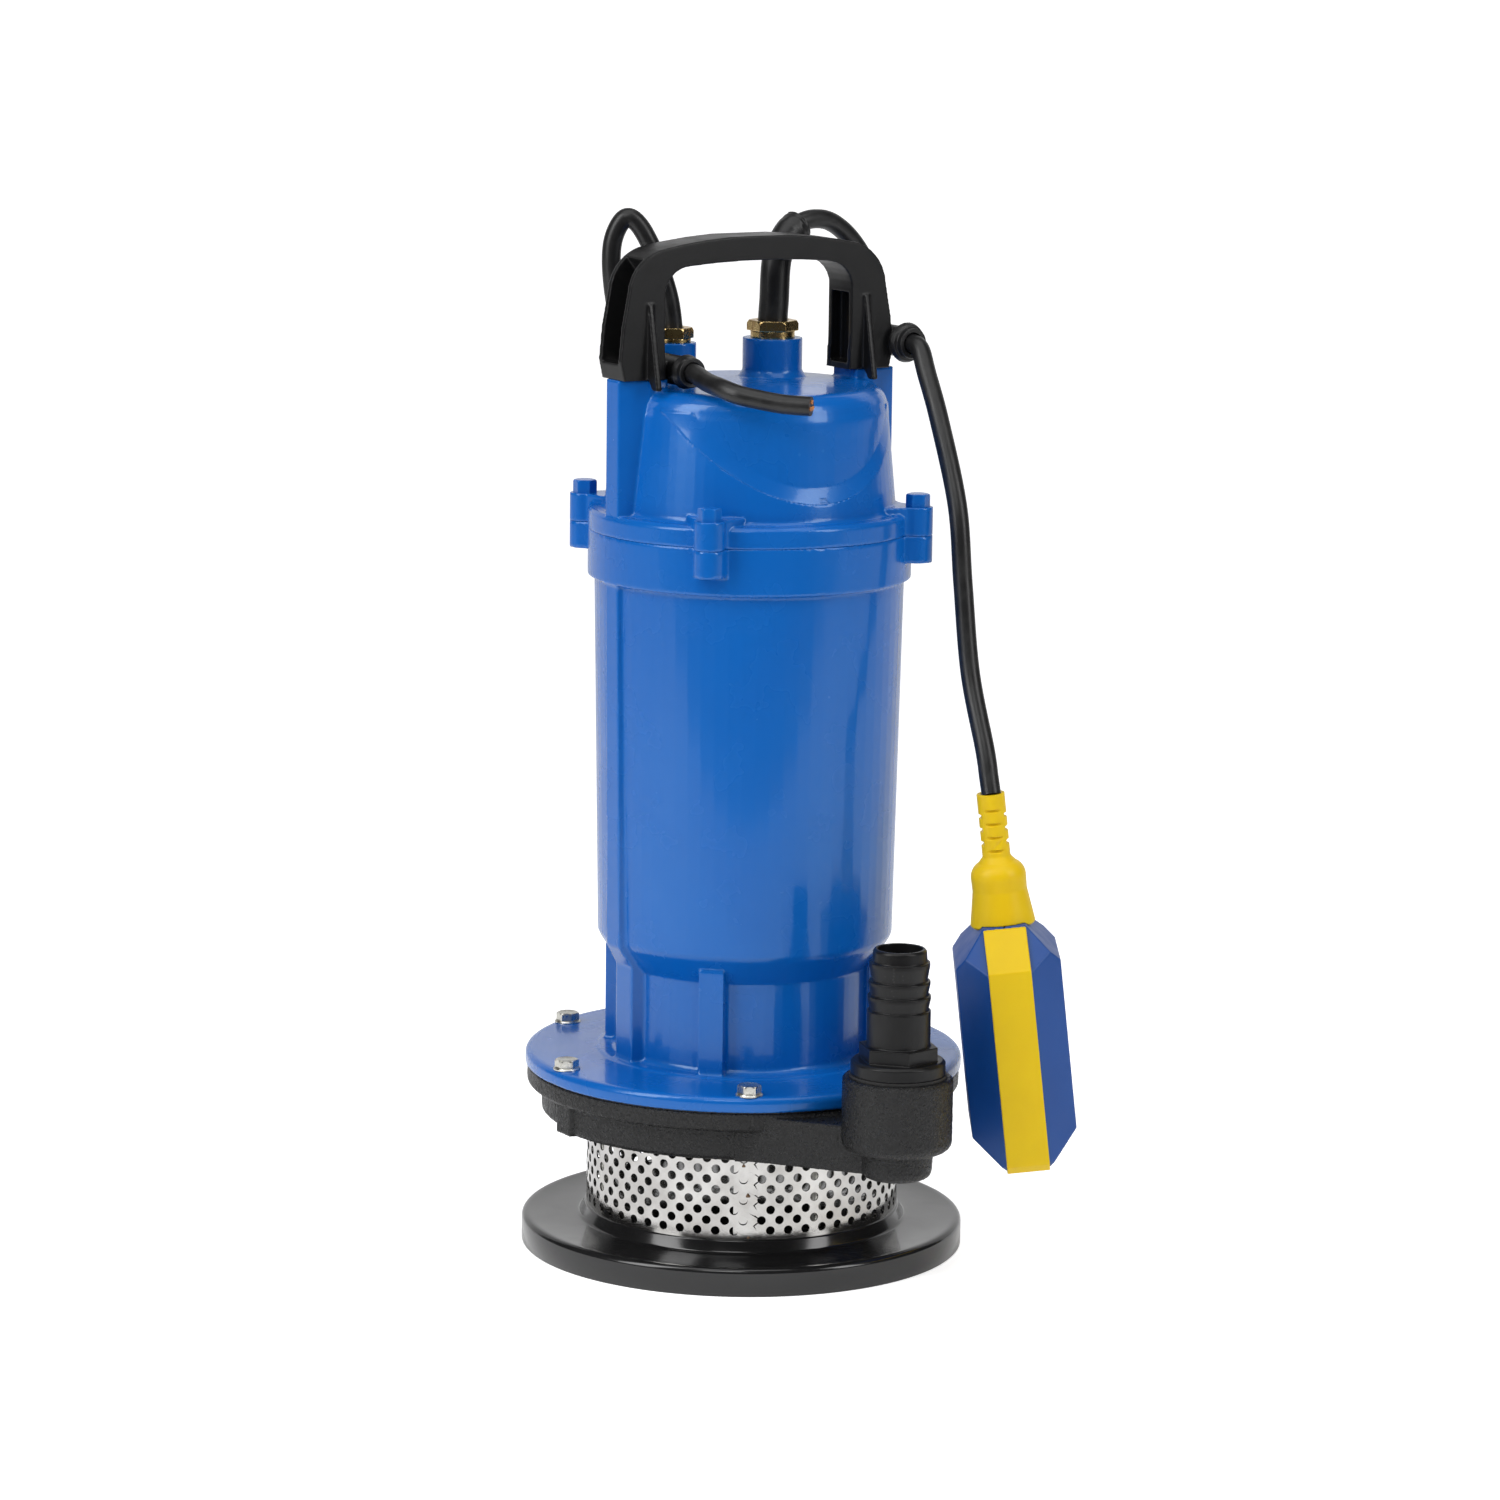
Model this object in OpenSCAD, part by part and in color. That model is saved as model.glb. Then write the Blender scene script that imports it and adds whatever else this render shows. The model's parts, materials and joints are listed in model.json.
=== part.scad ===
// Submersible sump pump with a strainer foot, an upturned hose outlet and a tethered float switch.
// Origin: centre of the underside of the base plate, on the pump axis. X runs along the handle,
// the outlet elbow is on the -Y side, Z is up.

/* [Base and strainer] */
// Radius of the base plate at the floor
base_r = 106.4; // [104:0.1:110]
// Height of the flat rim of the base plate
base_h = 13.5; // [11:0.5:15]
// Height of the raised seat that the strainer stands on
seat_z = 19; // [18:0.5:20]
// Outside radius of the strainer sheet
strainer_r = 75; // [74:0.1:76]
// Number of holes in one strainer row
strainer_holes = 54; // [24:2:60]
// Number of rows of strainer holes
strainer_rows = 8; // [5:1:8]
// Diameter of a strainer hole
strainer_hole_d = 4; // [3:0.1:4.2]

/* [Pump casing] */
// Radius of the bolted flange of the motor housing
flange_r = 105; // [103:0.5:107]
// Distance from the pump axis to the outlet axis
outlet_y = 135.5; // [134:1:142]
// Outside radius of the outlet barrel
outlet_r = 25.6; // [24:0.5:27]
// Outside radius of the plain end of the hose tail
hose_r = 14.7; // [14:0.1:15.2]
// Pitch radius of the flange bolts
flange_bolt_r = 98; // [97.5:0.1:98.5]

/* [Motor] */
// Outside radius of the motor body at its foot
body_r = 70.6; // [70.4:0.1:71.5]
// Outside radius of the ring that carries the top cover
ring_r = 76.75; // [76:0.25:78]
// Length of the stator and rotor core
core_len = 100; // [80:5:104]
// Air gap between rotor and stator
air_gap = 0.5; // [0.3:0.1:0.8]

/* [Top cover and handle] */
// Height of the flat top of the cover
cover_top_z = 416; // [415:0.5:417]
// Height of the crown of the handle
handle_z = 486.5; // [484:0.5:490]
// Half the width of the handle, across its bar
handle_half_w = 10.5; // [9:0.5:11]

/* [Float switch] */
// Thickness of the float body
float_t = 49; // [46:1:52]
// Width of the float body
float_w = 76; // [70:1:80]
// Length of the float body
float_len = 112; // [108:1:116]
// Radius of the float cable
float_cable_r = 4.6; // [4.2:0.1:4.8]

/* [Hidden] */

$fn = 96;
fine = 0.01;            // closes shared faces in unions and cuts
slip = 0.05;            // gap between pieces that only touch
hex_ratio = 2 / sqrt(3); // across corners over across flats

paint_blue = [0.02, 0.33, 0.68];
iron_black = [0.2, 0.2, 0.21];
plastic_black = [0.16, 0.16, 0.17];
float_yellow = [0.93, 0.8, 0.02];
brass = [0.72, 0.58, 0.3];
steel = [0.75, 0.75, 0.76];

// Heights of the stacked castings
volute_z = 62.9;                        // underside of the pump casing
volute_flange_z = 78;                   // underside of its flange
gasket_t = 0.6;
flange_z = 87.8;                        // underside of the motor flange
flange_top_z = 95;
neck_top_z = 139;
body_z = 153.5;
ring_z = 324.8;
joint_z = 347.3;                        // housing to top cover
cover_ring_z = 357.2;
cover_z = joint_z + 0.05;               // the cover's underside, a thin joint above the housing
lug_z = 334.5;
lug_top_z = 360.7;
pad_z = 421;                            // top of the handle pads

neck_r = 61.5;
body_top_r = 73.5;
stator_bore_r = 65;
carrier_bore_r = 67;
chamber_r = 50;
cover_register_r = 62;
core_z = 185;
rotor_r = 34 - air_gap;
lug_bolt_r = 81;
lug_angles = [45, 135, 225, 315];
rib_angles = [45, 135, 225, 315];
tie_bolt_r = 66;
m6_r = 3;
m6_hole_r = 3.3;
m6_tap_r = 3.05;
m6_af = 10;

impeller_r = 54;
impeller_z = 71.8;
lower_bearing = [20, 8.5, 14.25, 3.37, 12, 129];     // outside, bore, pitch, ball radii, width, z
upper_bearing = [17.5, 7.5, 12.5, 2.98, 11, 312];

// Handle geometry
shoulder = [48.2, 459.5];               // centre of the outer shoulder arc
shoulder_r = 22.5;
crown_r = 290;                          // slight arch of the bar
inner_corner = [38, 459.5];
handle_shift = -2.5;                    // the handle sits this far towards the power cable's side
inner_r = 13.5;
leg_wall = 3;
foot_t = 8;
handle_screw_x = 66.5;

// Cable glands: place, boss radius, boss top, bore, collar radius, nut across flats, cable radius
float_gland = [25, 22];
power_gland = [-30, 22];
gland_boss_r = 14.3;
small_boss_r = 10.8;
gland_z = 434.5;
small_gland_z = 434.6;
sleeve_r = 7.2;
power_cable_r = 4.3;
power_grommet_at = [-44.6, -14, 424.6];
float_grommet_at = [77.8, -14, 433];
grommet_t = 8;

// Float switch: the tether hangs in one vertical plane through its pivot
tether_pivot = [77.8, -25, 430];
tether_turn = 8.9;                      // swing plane, turned from -Y towards -X
tether_sz = [[0, 0], [9, -10], [24, -30], [46, -68], [54, -104], [64, -145], [81.5, -178], [86.7, -191]];
tether_dir = [-sin(tether_turn), -cos(tether_turn), 0];
boot_gap = 7;                           // from the lower pivot to the top of the boot
float_turn = -31.8;                     // heading of the float's thin direction
float_tilt = 6.6;                       // lean of the hanging float
float_pivot = tether_point(tether_sz[7]);
boot_len = 63;
float_top = -boot_gap - boot_len + 2;   // top of the float body under the boot
shell_wall = 2.2;
band_w = 20;
ball_r = 8;
lever_x = -7;                           // hinge of the switch paddle
lever_z = float_top - 48;
lever_pin_r = 0.9;

function tether_point(sz) = tether_pivot + tether_dir * sz[0] + [0, 0, sz[1]];

// Points of an arc, from angle a0 to a1
function arc(c, r, a0, a1, n = 6) = [for (i = [0:n])
    let (a = a0 + (a1 - a0) * i / n) c + r * [cos(a), sin(a)]];

// One point of the smooth curve that runs through the control points p
function curve_at(p, i, t) =
    let (n = len(p) - 1,
         a = p[max(i - 1, 0)], b = p[i], c = p[min(i + 1, n)], d = p[min(i + 2, n)])
    0.5 * (2 * b + (c - a) * t + (2 * a - 5 * b + 4 * c - d) * t * t + (3 * b - a - 3 * c + d) * t * t * t);

function curve(p, steps = 3) = concat(
    [for (i = [0:len(p) - 2]) for (j = [0:steps - 1]) curve_at(p, i, j / steps)],
    [p[len(p) - 1]]);

module revolve(points) {
    rotate_extrude() polygon(points);
}

module tube(r_out, r_in, h) {
    difference() {
        cylinder(r = r_out, h = h);
        translate([0, 0, -1]) cylinder(r = r_in, h = h + 2);
    }
}

module hex_prism(across_flats, h) {
    cylinder(d = across_flats * hex_ratio, h = h, $fn = 6);
}

module around(count, r, start = 0) {
    for (i = [0:count - 1]) rotate([0, 0, start + i * 360 / count]) translate([r, 0, 0]) children();
}

module at_angles(angles, r) {
    for (a = angles) rotate([0, 0, a]) translate([r, 0, 0]) children();
}

module cable(points, r) {
    for (i = [0:len(points) - 2]) hull() {
        translate(points[i]) sphere(r = r, $fn = 12);
        translate(points[i + 1]) sphere(r = r, $fn = 12);
    }
}

// ---- Base, strainer and pump casing ----

module base_plate() {
    sheet = 2;
    rim_r = 3.2;
    rim_c = [base_r - rim_r, base_h - rim_r];
    color(plastic_black) difference() {
        revolve(concat(
            [[base_r - sheet, 0], [base_r, 0]],
            arc(rim_c, rim_r, 0, 90),
            [[79.5, base_h], [77.3, base_h + 1.4], [76.6, seat_z - 0.8], [75.8, seat_z]],
            [[strainer_r - 0.9, seat_z], [strainer_r - 1.4, seat_z + sheet], [0, seat_z + sheet]],
            [[0, seat_z], [72, seat_z - 0.5], [74.8, base_h - sheet + 1.5], [77, base_h - sheet]],
            arc(rim_c, rim_r - sheet, 90, 0)));
        around(3, tie_bolt_r, 30) translate([0, 0, seat_z - 2]) cylinder(r = m6_hole_r, h = 6);
    }
}

module strainer() {
    sheet = 0.8;
    height = volute_z - seat_z + 1.5;
    row_pitch = 5;
    first_row = 4.2;
    seam_turn = -122;
    color(steel) translate([0, 0, seat_z]) difference() {
        tube(strainer_r, strainer_r - sheet, height);
        for (row = [0:strainer_rows - 1], i = [0:strainer_holes - 1])
            rotate([0, 0, seam_turn + (i + (row % 2) / 2) * 360 / strainer_holes])
                translate([strainer_r - 2, 0, first_row + row * row_pitch]) rotate([0, 90, 0])
                    cylinder(d = strainer_hole_d, h = 4, $fn = 16);
    }
}

module tie_bolts() {
    head_h = 4;
    color(steel) around(3, tie_bolt_r, 30) {
        translate([0, 0, seat_z - 0.5 - head_h]) hex_prism(m6_af, head_h);
        translate([0, 0, seat_z - 0.5 - fine]) cylinder(r = m6_r, h = volute_z - seat_z + 6);
    }
}

module volute_body() {
    revolve([[0, volute_z], [93, volute_z], [97, volute_z + 3], [97, volute_flange_z],
             [102, volute_flange_z], [104, volute_flange_z + 1.6], [104, flange_z - gasket_t],
             [0, flange_z - gasket_t]]);
    around(6, 93, 0) translate([0, -6.5, volute_z + 0.4]) cube([7, 13, 15]);
    // Wider sector of the spiral that ends at a step on the left
    rotate([0, 0, -184]) rotate_extrude(angle = 226)
        polygon([[90, volute_z + 0.2], [96, volute_z + 0.2], [99, volute_z + 2.6],
                 [99, volute_flange_z + 2], [90, volute_flange_z + 2]]);
}

module outlet_duct() {
    translate([0, 0, volute_z + 0.6]) linear_extrude(21.8)
        polygon([[-52, -84], [-24, -121], [-12, -136], [14, -136], [42, -88], [0, -50]]);
}

module outlet_barrel() {
    cap_r = 16.5;
    top_z = 109.3;
    translate([0, -outlet_y, 0]) revolve(concat(
        [[0, 61.3]], arc([cap_r - 4, 65.3], 4, -90, 0, 3),
        [[cap_r + 0.4, 72.5]], arc([outlet_r - 5, 79.5], 5, -80, 0, 4),
        [[outlet_r, top_z - 1.2], [outlet_r - 1.2, top_z], [0, top_z]]));
}

module volute() {
    channel_floor = 72.6;
    thread_r = 20.7;
    color(iron_black) difference() {
        union() {
            volute_body();
            outlet_duct();
            outlet_barrel();
        }
        // Impeller chamber, spiral channel and inlet eye
        translate([0, 0, impeller_z - 1.2]) cylinder(r = impeller_r + 2, h = 30);
        translate([4, -3, channel_floor]) cylinder(r = 79, h = 30);
        translate([0, 0, volute_z - 1]) cylinder(r = 24, h = 10);
        translate([0, 0, impeller_z - 2.4]) cylinder(r = 26.4, h = 3);
        // Outlet passage and threaded mouth
        translate([-13, -outlet_y, channel_floor - 2]) cube([26, 80, 12]);
        translate([0, -outlet_y, channel_floor - 5]) cylinder(r = 12, h = 20);
        translate([0, -outlet_y, 78]) cylinder(r = 16, h = 40);
        translate([0, -outlet_y, 92]) cylinder(r = thread_r, h = 30);
        around(6, flange_bolt_r) translate([0, 0, 79]) cylinder(r = m6_tap_r, h = 20);
        around(3, tie_bolt_r, 30) translate([0, 0, volute_z - 1]) cylinder(r = m6_tap_r, h = 6.7);
        // Groove that locates the top edge of the strainer
        translate([0, 0, volute_z - 1]) tube(strainer_r + 0.15, strainer_r - 0.95, 2.7);
    }
}

module volute_gasket() {
    color("dimgray") translate([0, 0, flange_z - gasket_t]) difference() {
        tube(103.4, 84.5, gasket_t);
        around(6, flange_bolt_r) translate([0, 0, -1]) cylinder(r = m6_hole_r, h = 3);
    }
}

// ---- Hose outlet ----

module connector_seal() {
    color("black") translate([0, -outlet_y, 109.3]) tube(22.6, 20.9, 1.4);
}

module hose_connector() {
    plug_z = 93;
    collar_z = 110.7;
    collar_r = 21.9;
    hex_z = 117.4;
    hex_top = 124;
    bore_r = 10.5;
    top_z = 169.3;
    barb_r = hose_r - 0.1;
    color(plastic_black) translate([0, -outlet_y, 0]) difference() {
        union() {
            revolve(concat(
                [[0, plug_z], [19.6, plug_z], [20.5, plug_z + 1], [20.5, collar_z], [collar_r, collar_z]],
                [[collar_r, hex_z - 1.2], [collar_r - 1.2, hex_z], [hose_r, hex_z], [hose_r, 140.6]],
                [[13.5, 140.7], [barb_r, 145.9], [barb_r, 147.6], [13.2, 147.7], [barb_r - 0.3, 152.9]],
                [[barb_r - 0.3, 154.5], [12.9, 154.6], [barb_r - 0.6, 161.4], [barb_r - 0.6, 163.2]],
                [[12.8, 163.3], [12.4, top_z - 1], [11.6, top_z], [0, top_z]]));
            translate([0, 0, hex_z - 1]) rotate([0, 0, 12]) hex_prism(32.5, hex_top - hex_z + 1);
        }
        translate([0, 0, plug_z - 1]) cylinder(r = bore_r, h = top_z - plug_z + 2);
        translate([0, 0, plug_z - 1]) cylinder(r1 = 17.5, r2 = bore_r - 0.5, h = 16);
    }
}

// ---- Impeller and seals ----

module impeller_vanes() {
    vane_r = 42;
    vane_t = 3;
    linear_extrude(8) intersection() {
        difference() {
            circle(r = impeller_r - 0.4);
            circle(r = 21);
        }
        for (i = [0:5]) rotate([0, 0, i * 60]) translate([26, 22]) intersection() {
            difference() {
                circle(r = vane_r);
                circle(r = vane_r - vane_t);
            }
            translate([0, -60]) square([60, 60]);
        }
    }
}

module impeller() {
    eye_r = 22;
    shroud_t = 2.2;
    top_z = impeller_z + 9.4;
    color(brass) difference() {
        union() {
            translate([0, 0, impeller_z]) tube(impeller_r, eye_r, shroud_t);
            translate([0, 0, impeller_z - 1.8]) tube(26, eye_r, 2);
            translate([0, 0, impeller_z + shroud_t - 0.6]) impeller_vanes();
            translate([0, 0, top_z - shroud_t]) cylinder(r = impeller_r, h = shroud_t);
            translate([0, 0, impeller_z + 0.4]) cylinder(r = 12, h = 12);
        }
        translate([0, 0, impeller_z - 5]) cylinder(r = 7.02, h = 25);
        translate([0, -2.02, impeller_z - 5]) cube([8.8, 4.04, 25]);
    }
}

module impeller_key() {
    color(steel) translate([4.5, -2, impeller_z + 1]) cube([4.1, 4, 10]);
}

module impeller_washer() {
    color(steel) translate([0, 0, impeller_z - 0.9]) tube(10, 4.02, 1.2);
}

module impeller_nut() {
    color(steel) translate([0, 0, impeller_z - 5.95]) difference() {
        hex_prism(13, 5);
        translate([0, 0, -1]) cylinder(r = 4.02, h = 7);
    }
}

module oil_chamber_cover() {
    disc_z = 83;
    color(iron_black) translate([0, 0, disc_z]) difference() {
        union() {
            cylinder(r = cover_register_r - 0.1, h = 8 - slip);
            cylinder(r = 20, h = 12);
        }
        translate([0, 0, -1]) cylinder(r = 13, h = 20);
        translate([0, 0, 1.4]) cylinder(r = 14.02, h = 20);
        around(3, 56, 90) {
            translate([0, 0, -1]) cylinder(r = 2.7, h = 12);
            translate([0, 0, -1]) cylinder(r = 5, h = 5);
        }
    }
}

module oil_cover_screws() {
    color(steel) around(3, 56, 90) translate([0, 0, 83.4]) {
        cylinder(r = 4.8, h = 3.5);
        cylinder(r = 2.5, h = 18);
    }
}

module seal_seat() {
    color("gainsboro") translate([0, 0, 84.4]) tube(14, 8.4, 5.7);
}

module seal_head() {
    color("dimgray") difference() {
        revolve([[0, 90.2], [10.4, 90.2], [10.4, 94], [13.4, 94], [13.4, 99], [11.6, 100], [13, 102],
                 [11.6, 104], [13, 106], [13, 109], [0, 109]]);
        translate([0, 0, 80]) cylinder(r = 7.52, h = 40);
    }
}

module oil_seal() {
    color("black") translate([0, 0, 121.2]) difference() {
        cylinder(r = 17, h = 7);
        translate([0, 0, -1]) cylinder(r = 7.6, h = 9);
        translate([0, 0, -1]) cylinder(r = 14, h = 5);
    }
}

// ---- Motor housing ----

module housing_outside() {
    edge_r = 2.8;
    revolve(concat(
        [[0, flange_z], [flange_r, flange_z]],
        arc([flange_r - edge_r, flange_top_z - edge_r], edge_r, 0, 90, 4),
        [[70.5, flange_top_z], [69.8, flange_top_z + 0.8], [neck_r + 2, flange_top_z + 0.8]],
        [[neck_r, flange_top_z + 2.6], [neck_r, neck_top_z]],
        [[body_r - 1, body_z - 2.4], [body_r, body_z]],
        [[body_top_r, ring_z], [ring_r, ring_z + 0.4], [ring_r, joint_z], [0, joint_z]]));
}

// Upright rib or pilaster: side profile in (r, z), with tapered flanks
module upright(profile, root_w, tip_w, root_r, tip_r) {
    intersection() {
        rotate([90, 0, 0]) translate([0, 0, -root_w]) linear_extrude(2 * root_w) polygon(profile);
        linear_extrude(joint_z) polygon([
            [root_r, -root_w / 2], [tip_r, -tip_w / 2], [tip_r, tip_w / 2], [root_r, root_w / 2]]);
    }
}

module neck_rib() {
    rib_r = 67.4;
    upright([[56, flange_top_z - 1], [rib_r + 1, flange_top_z - 1], [rib_r, flange_top_z + 3],
             [rib_r, 145.8], [60, 145.8], [56, 120]], 14, 11.6, 56, rib_r + 1);
}

module pilaster() {
    upright([[56, flange_top_z - 1], [68, flange_top_z - 1], [67.2, flange_top_z + 3], [67.2, 142],
             [73.4, 152], [75.8, ring_z + 2], [68, ring_z + 2], [67, 156], [56, 138]], 20, 10.5, 56, 77);
}

module housing_lug() {
    nose_r = 7.2;
    translate([0, 0, lug_z]) linear_extrude(joint_z - lug_z) {
        translate([lug_bolt_r, 0]) circle(r = nose_r);
        polygon([[70, -8.8], [lug_bolt_r + 1.4, -7], [lug_bolt_r + 1.4, 7], [70, 8.8]]);
    }
}

module housing_cavities() {
    translate([0, 0, flange_z - 1]) cylinder(r = cover_register_r, h = 4.2);
    translate([0, 0, flange_z]) cylinder(r = chamber_r, h = 33);
    translate([0, 0, 100]) cylinder(r = 17.02, h = 28.2);
    translate([0, 0, 120]) cylinder(r = 14, h = 20);
    translate([0, 0, lower_bearing[5]]) cylinder(r = lower_bearing[0] + 0.02, h = 40);
    translate([0, 0, 141]) cylinder(r = 54, h = 40);
    translate([0, 0, 160]) cylinder(r = stator_bore_r, h = 200);
    translate([0, 0, 307]) cylinder(r = carrier_bore_r, h = 60);
    translate([0, 0, 315.1]) cylinder(r = carrier_bore_r + 1.6, h = 1.8);
    translate([0, 0, joint_z - 2]) tube(73, 70.4, 4);
}

module motor_housing() {
    color(paint_blue) difference() {
        union() {
            housing_outside();
            at_angles(rib_angles, 0) neck_rib();
            at_angles([0, 180], 0) pilaster();
            at_angles(lug_angles, 0) housing_lug();
        }
        housing_cavities();
        around(6, flange_bolt_r) translate([0, 0, flange_z - 1]) cylinder(r = m6_hole_r, h = 12);
        around(3, 56, 90) translate([0, 0, 90]) cylinder(r = 2.52, h = 12);
        at_angles(lug_angles, lug_bolt_r) translate([0, 0, lug_z + 2.4]) cylinder(r = m6_tap_r, h = 20);
    }
}

module flange_bolts() {
    color(steel) around(6, flange_bolt_r) {
        translate([0, 0, 79.4]) cylinder(r = m6_r, h = 16);
        translate([0, 0, flange_top_z]) cylinder(r1 = 6.6, r2 = 6.1, h = 1.1);
        translate([0, 0, flange_top_z + 0.9]) hex_prism(m6_af, 4.2);
    }
}

// ---- Shaft, bearings, rotor and stator ----

module race_ring(b, r_out, r_in) {
    translate([0, 0, b[5]]) difference() {
        tube(r_out, r_in, b[4]);
        translate([0, 0, b[4] / 2]) rotate_extrude() translate([b[2], 0]) circle(r = b[3] + 0.06, $fn = 32);
    }
}

module outer_race(b) {
    color(steel) race_ring(b, b[0], b[2] + b[3] * 0.55);
}

module inner_race(b) {
    color(steel) race_ring(b, b[2] - b[3] * 0.55, b[1] + 0.02);
}

module bearing_balls(b) {
    color(steel) around(8, b[2]) translate([0, 0, b[5] + b[4] / 2]) sphere(r = b[3], $fn = 32);
}

module lower_bearing_outer() { outer_race(lower_bearing); }
module lower_bearing_inner() { inner_race(lower_bearing); }
module lower_bearing_balls() { bearing_balls(lower_bearing); }
module upper_bearing_outer() { outer_race(upper_bearing); }
module upper_bearing_inner() { inner_race(upper_bearing); }
module upper_bearing_balls() { bearing_balls(upper_bearing); }

module shaft() {
    color("lightgray") difference() {
        revolve([[0, 65], [3.6, 65], [4, 65.6], [4, impeller_z + 0.3], [7, impeller_z + 0.3], [7, 88],
                 [7.5, 88], [7.5, lower_bearing[5]], [8.5, lower_bearing[5]], [8.5, 141], [11, 141],
                 [11, 300], [9.5, 300], [9.5, 312], [7.5, 312], [7.5, 322], [7, 322.6], [0, 322.6]]);
        translate([4.48, -2.02, impeller_z]) cube([5, 4.04, 12]);
    }
}

module rotor_core() {
    bar_r = 1.8;
    color("gray") translate([0, 0, core_z]) difference() {
        tube(rotor_r, 11.02, core_len);
        around(18, 30) translate([0, 0, -1]) cylinder(r = bar_r, h = core_len + 2);
    }
}

module rotor_cage() {
    ring_h = 9;
    color("lightgray") {
        around(18, 30) translate([0, 0, core_z - 1]) cylinder(r = 1.75, h = core_len + 2);
        for (z = [core_z - ring_h - slip, core_z + core_len + slip])
            translate([0, 0, z]) tube(rotor_r - 0.5, 20, ring_h);
        around(6, 25.5, 10) for (z = [core_z - ring_h - 5, core_z + core_len + ring_h - 1])
            translate([0, -1, z]) cube([6, 2, 6]);
    }
}

module stator_core() {
    color("gray") translate([0, 0, core_z]) difference() {
        tube(stator_bore_r - 0.02, 34, core_len);
        around(24, 36) translate([0, -2.2, -1]) cube([14, 4.4, core_len + 2]);
        around(24, 33) translate([0, -0.8, -1]) cube([5, 1.6, core_len + 2]);
    }
}

module stator_windings() {
    color("peru") {
        around(24, 37) translate([0, -1.9, core_z - 2]) cube([12.4, 3.8, core_len + 4]);
        for (z = [core_z - 19, core_z + core_len + 1]) translate([0, 0, z]) revolve(
            [[38, 2], [40, 0], [58, 0], [61, 3], [61, 15], [58, 18], [40, 18], [38, 16]]);
    }
}

module bearing_carrier() {
    disc_z = 307;
    color("silver") difference() {
        union() {
            translate([0, 0, disc_z + slip]) cylinder(r = carrier_bore_r - 0.05, h = 8);
            translate([0, 0, disc_z + slip]) cylinder(r = 23, h = 20);
        }
        translate([0, 0, disc_z - 1]) cylinder(r = upper_bearing[0] + 0.02, h = 18);
        around(4, 44, 45) translate([0, 0, disc_z - 1]) cylinder(r = 9, h = 12);
    }
}

module carrier_ring() {
    color(steel) translate([0, 0, 315.2]) difference() {
        tube(carrier_bore_r + 1.5, 63, 1.6);
        translate([0, -5, -1]) cube([80, 10, 4]);
    }
}

// ---- Electrical parts under the cover ----

capacitor_at = [0, -15, 348];
capacitor_r = 17.5;

module capacitor() {
    length = 68;
    color("whitesmoke") translate(capacitor_at) rotate([0, 90, 0]) {
        translate([0, 0, -length / 2]) cylinder(r = capacitor_r, h = length);
        for (y = [-6, 6]) translate([0, y, length / 2 - 1]) cylinder(r = 2, h = 7);
    }
}

module capacitor_bracket() {
    strap_t = 1.2;
    strap_w = 14;
    foot_z = 315.1;
    leg_y = capacitor_at[1] - capacitor_r - strap_t;
    color(steel) {
        translate([capacitor_at[0] - strap_w / 2, capacitor_at[1], capacitor_at[2]]) rotate([0, 90, 0])
            tube(capacitor_r + strap_t, capacitor_r + 0.02, strap_w);
        translate([-strap_w / 2, leg_y, foot_z]) cube([strap_w, strap_t, capacitor_at[2] - foot_z]);
        translate([-strap_w / 2, leg_y - 12, foot_z]) cube([strap_w, 12 + strap_t, 1.5]);
    }
}

module cover_seal() {
    color("black") translate([0, 0, joint_z - 1.0]) rotate_extrude()
        translate([71.7, 0]) circle(r = 0.95, $fn = 24);
}

// ---- Top cover ----

cover_foot_r = 69;
cover_shoulder_r = 64;
shoulder_z = cover_top_z - 11;

module cover_shell() {
    round_r = 9;
    revolve(concat(
        [[0, cover_z], [ring_r, cover_z], [ring_r, cover_ring_z - 1.6], [ring_r - 1.6, cover_ring_z]],
        [[cover_foot_r + 1.4, cover_ring_z], [cover_foot_r, cover_ring_z + 1.6]],
        [[cover_shoulder_r + 0.5, shoulder_z]],
        arc([cover_shoulder_r - round_r, cover_top_z - round_r], round_r, 0, 90, 6),
        [[0, cover_top_z]]));
}

// Square pillar at each end of the handle, narrower towards the outside
module handle_pillar() {
    translate([0, 0, cover_z]) linear_extrude(pad_z - cover_z)
        polygon([[52, -10], [62, -10], [76, -5.6], [76, 5.6], [62, 10], [52, 10]]);
}

module cover_lug() {
    nose_r = 7.2;
    nose_x = lug_bolt_r + 1.4;
    waist_x = lug_bolt_r - 3;
    translate([0, 0, cover_z]) linear_extrude(lug_top_z - cover_z) {
        translate([lug_bolt_r, 0]) circle(r = nose_r);
        polygon([[66, -15], [waist_x, -7], [nose_x, -7], [nose_x, 7], [waist_x, 7], [66, 15]]);
    }
}

// Shallow round-bottomed recess in the front of the shell, deepest at its foot
module front_recess() {
    recess_r = 61.5;
    recess_at = [-3, 0, 428];
    intersection() {
        translate(recess_at) rotate([90, 0, 0]) cylinder(r = recess_r, h = 90);
        difference() {
            translate([0, 0, cover_ring_z]) cylinder(r = 90, h = 60);
            translate([0, 0, cover_ring_z - 1]) cylinder(r1 = 65.4, r2 = 64.4, h = 62);
        }
    }
}

module gland_boss(at, r, top_z) {
    translate([at[0], at[1], cover_top_z - 3]) cylinder(r = r, h = top_z - cover_top_z + 3);
    translate([at[0], at[1], cover_top_z - 1]) cylinder(r1 = r + 3, r2 = r, h = 4);
}

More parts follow.
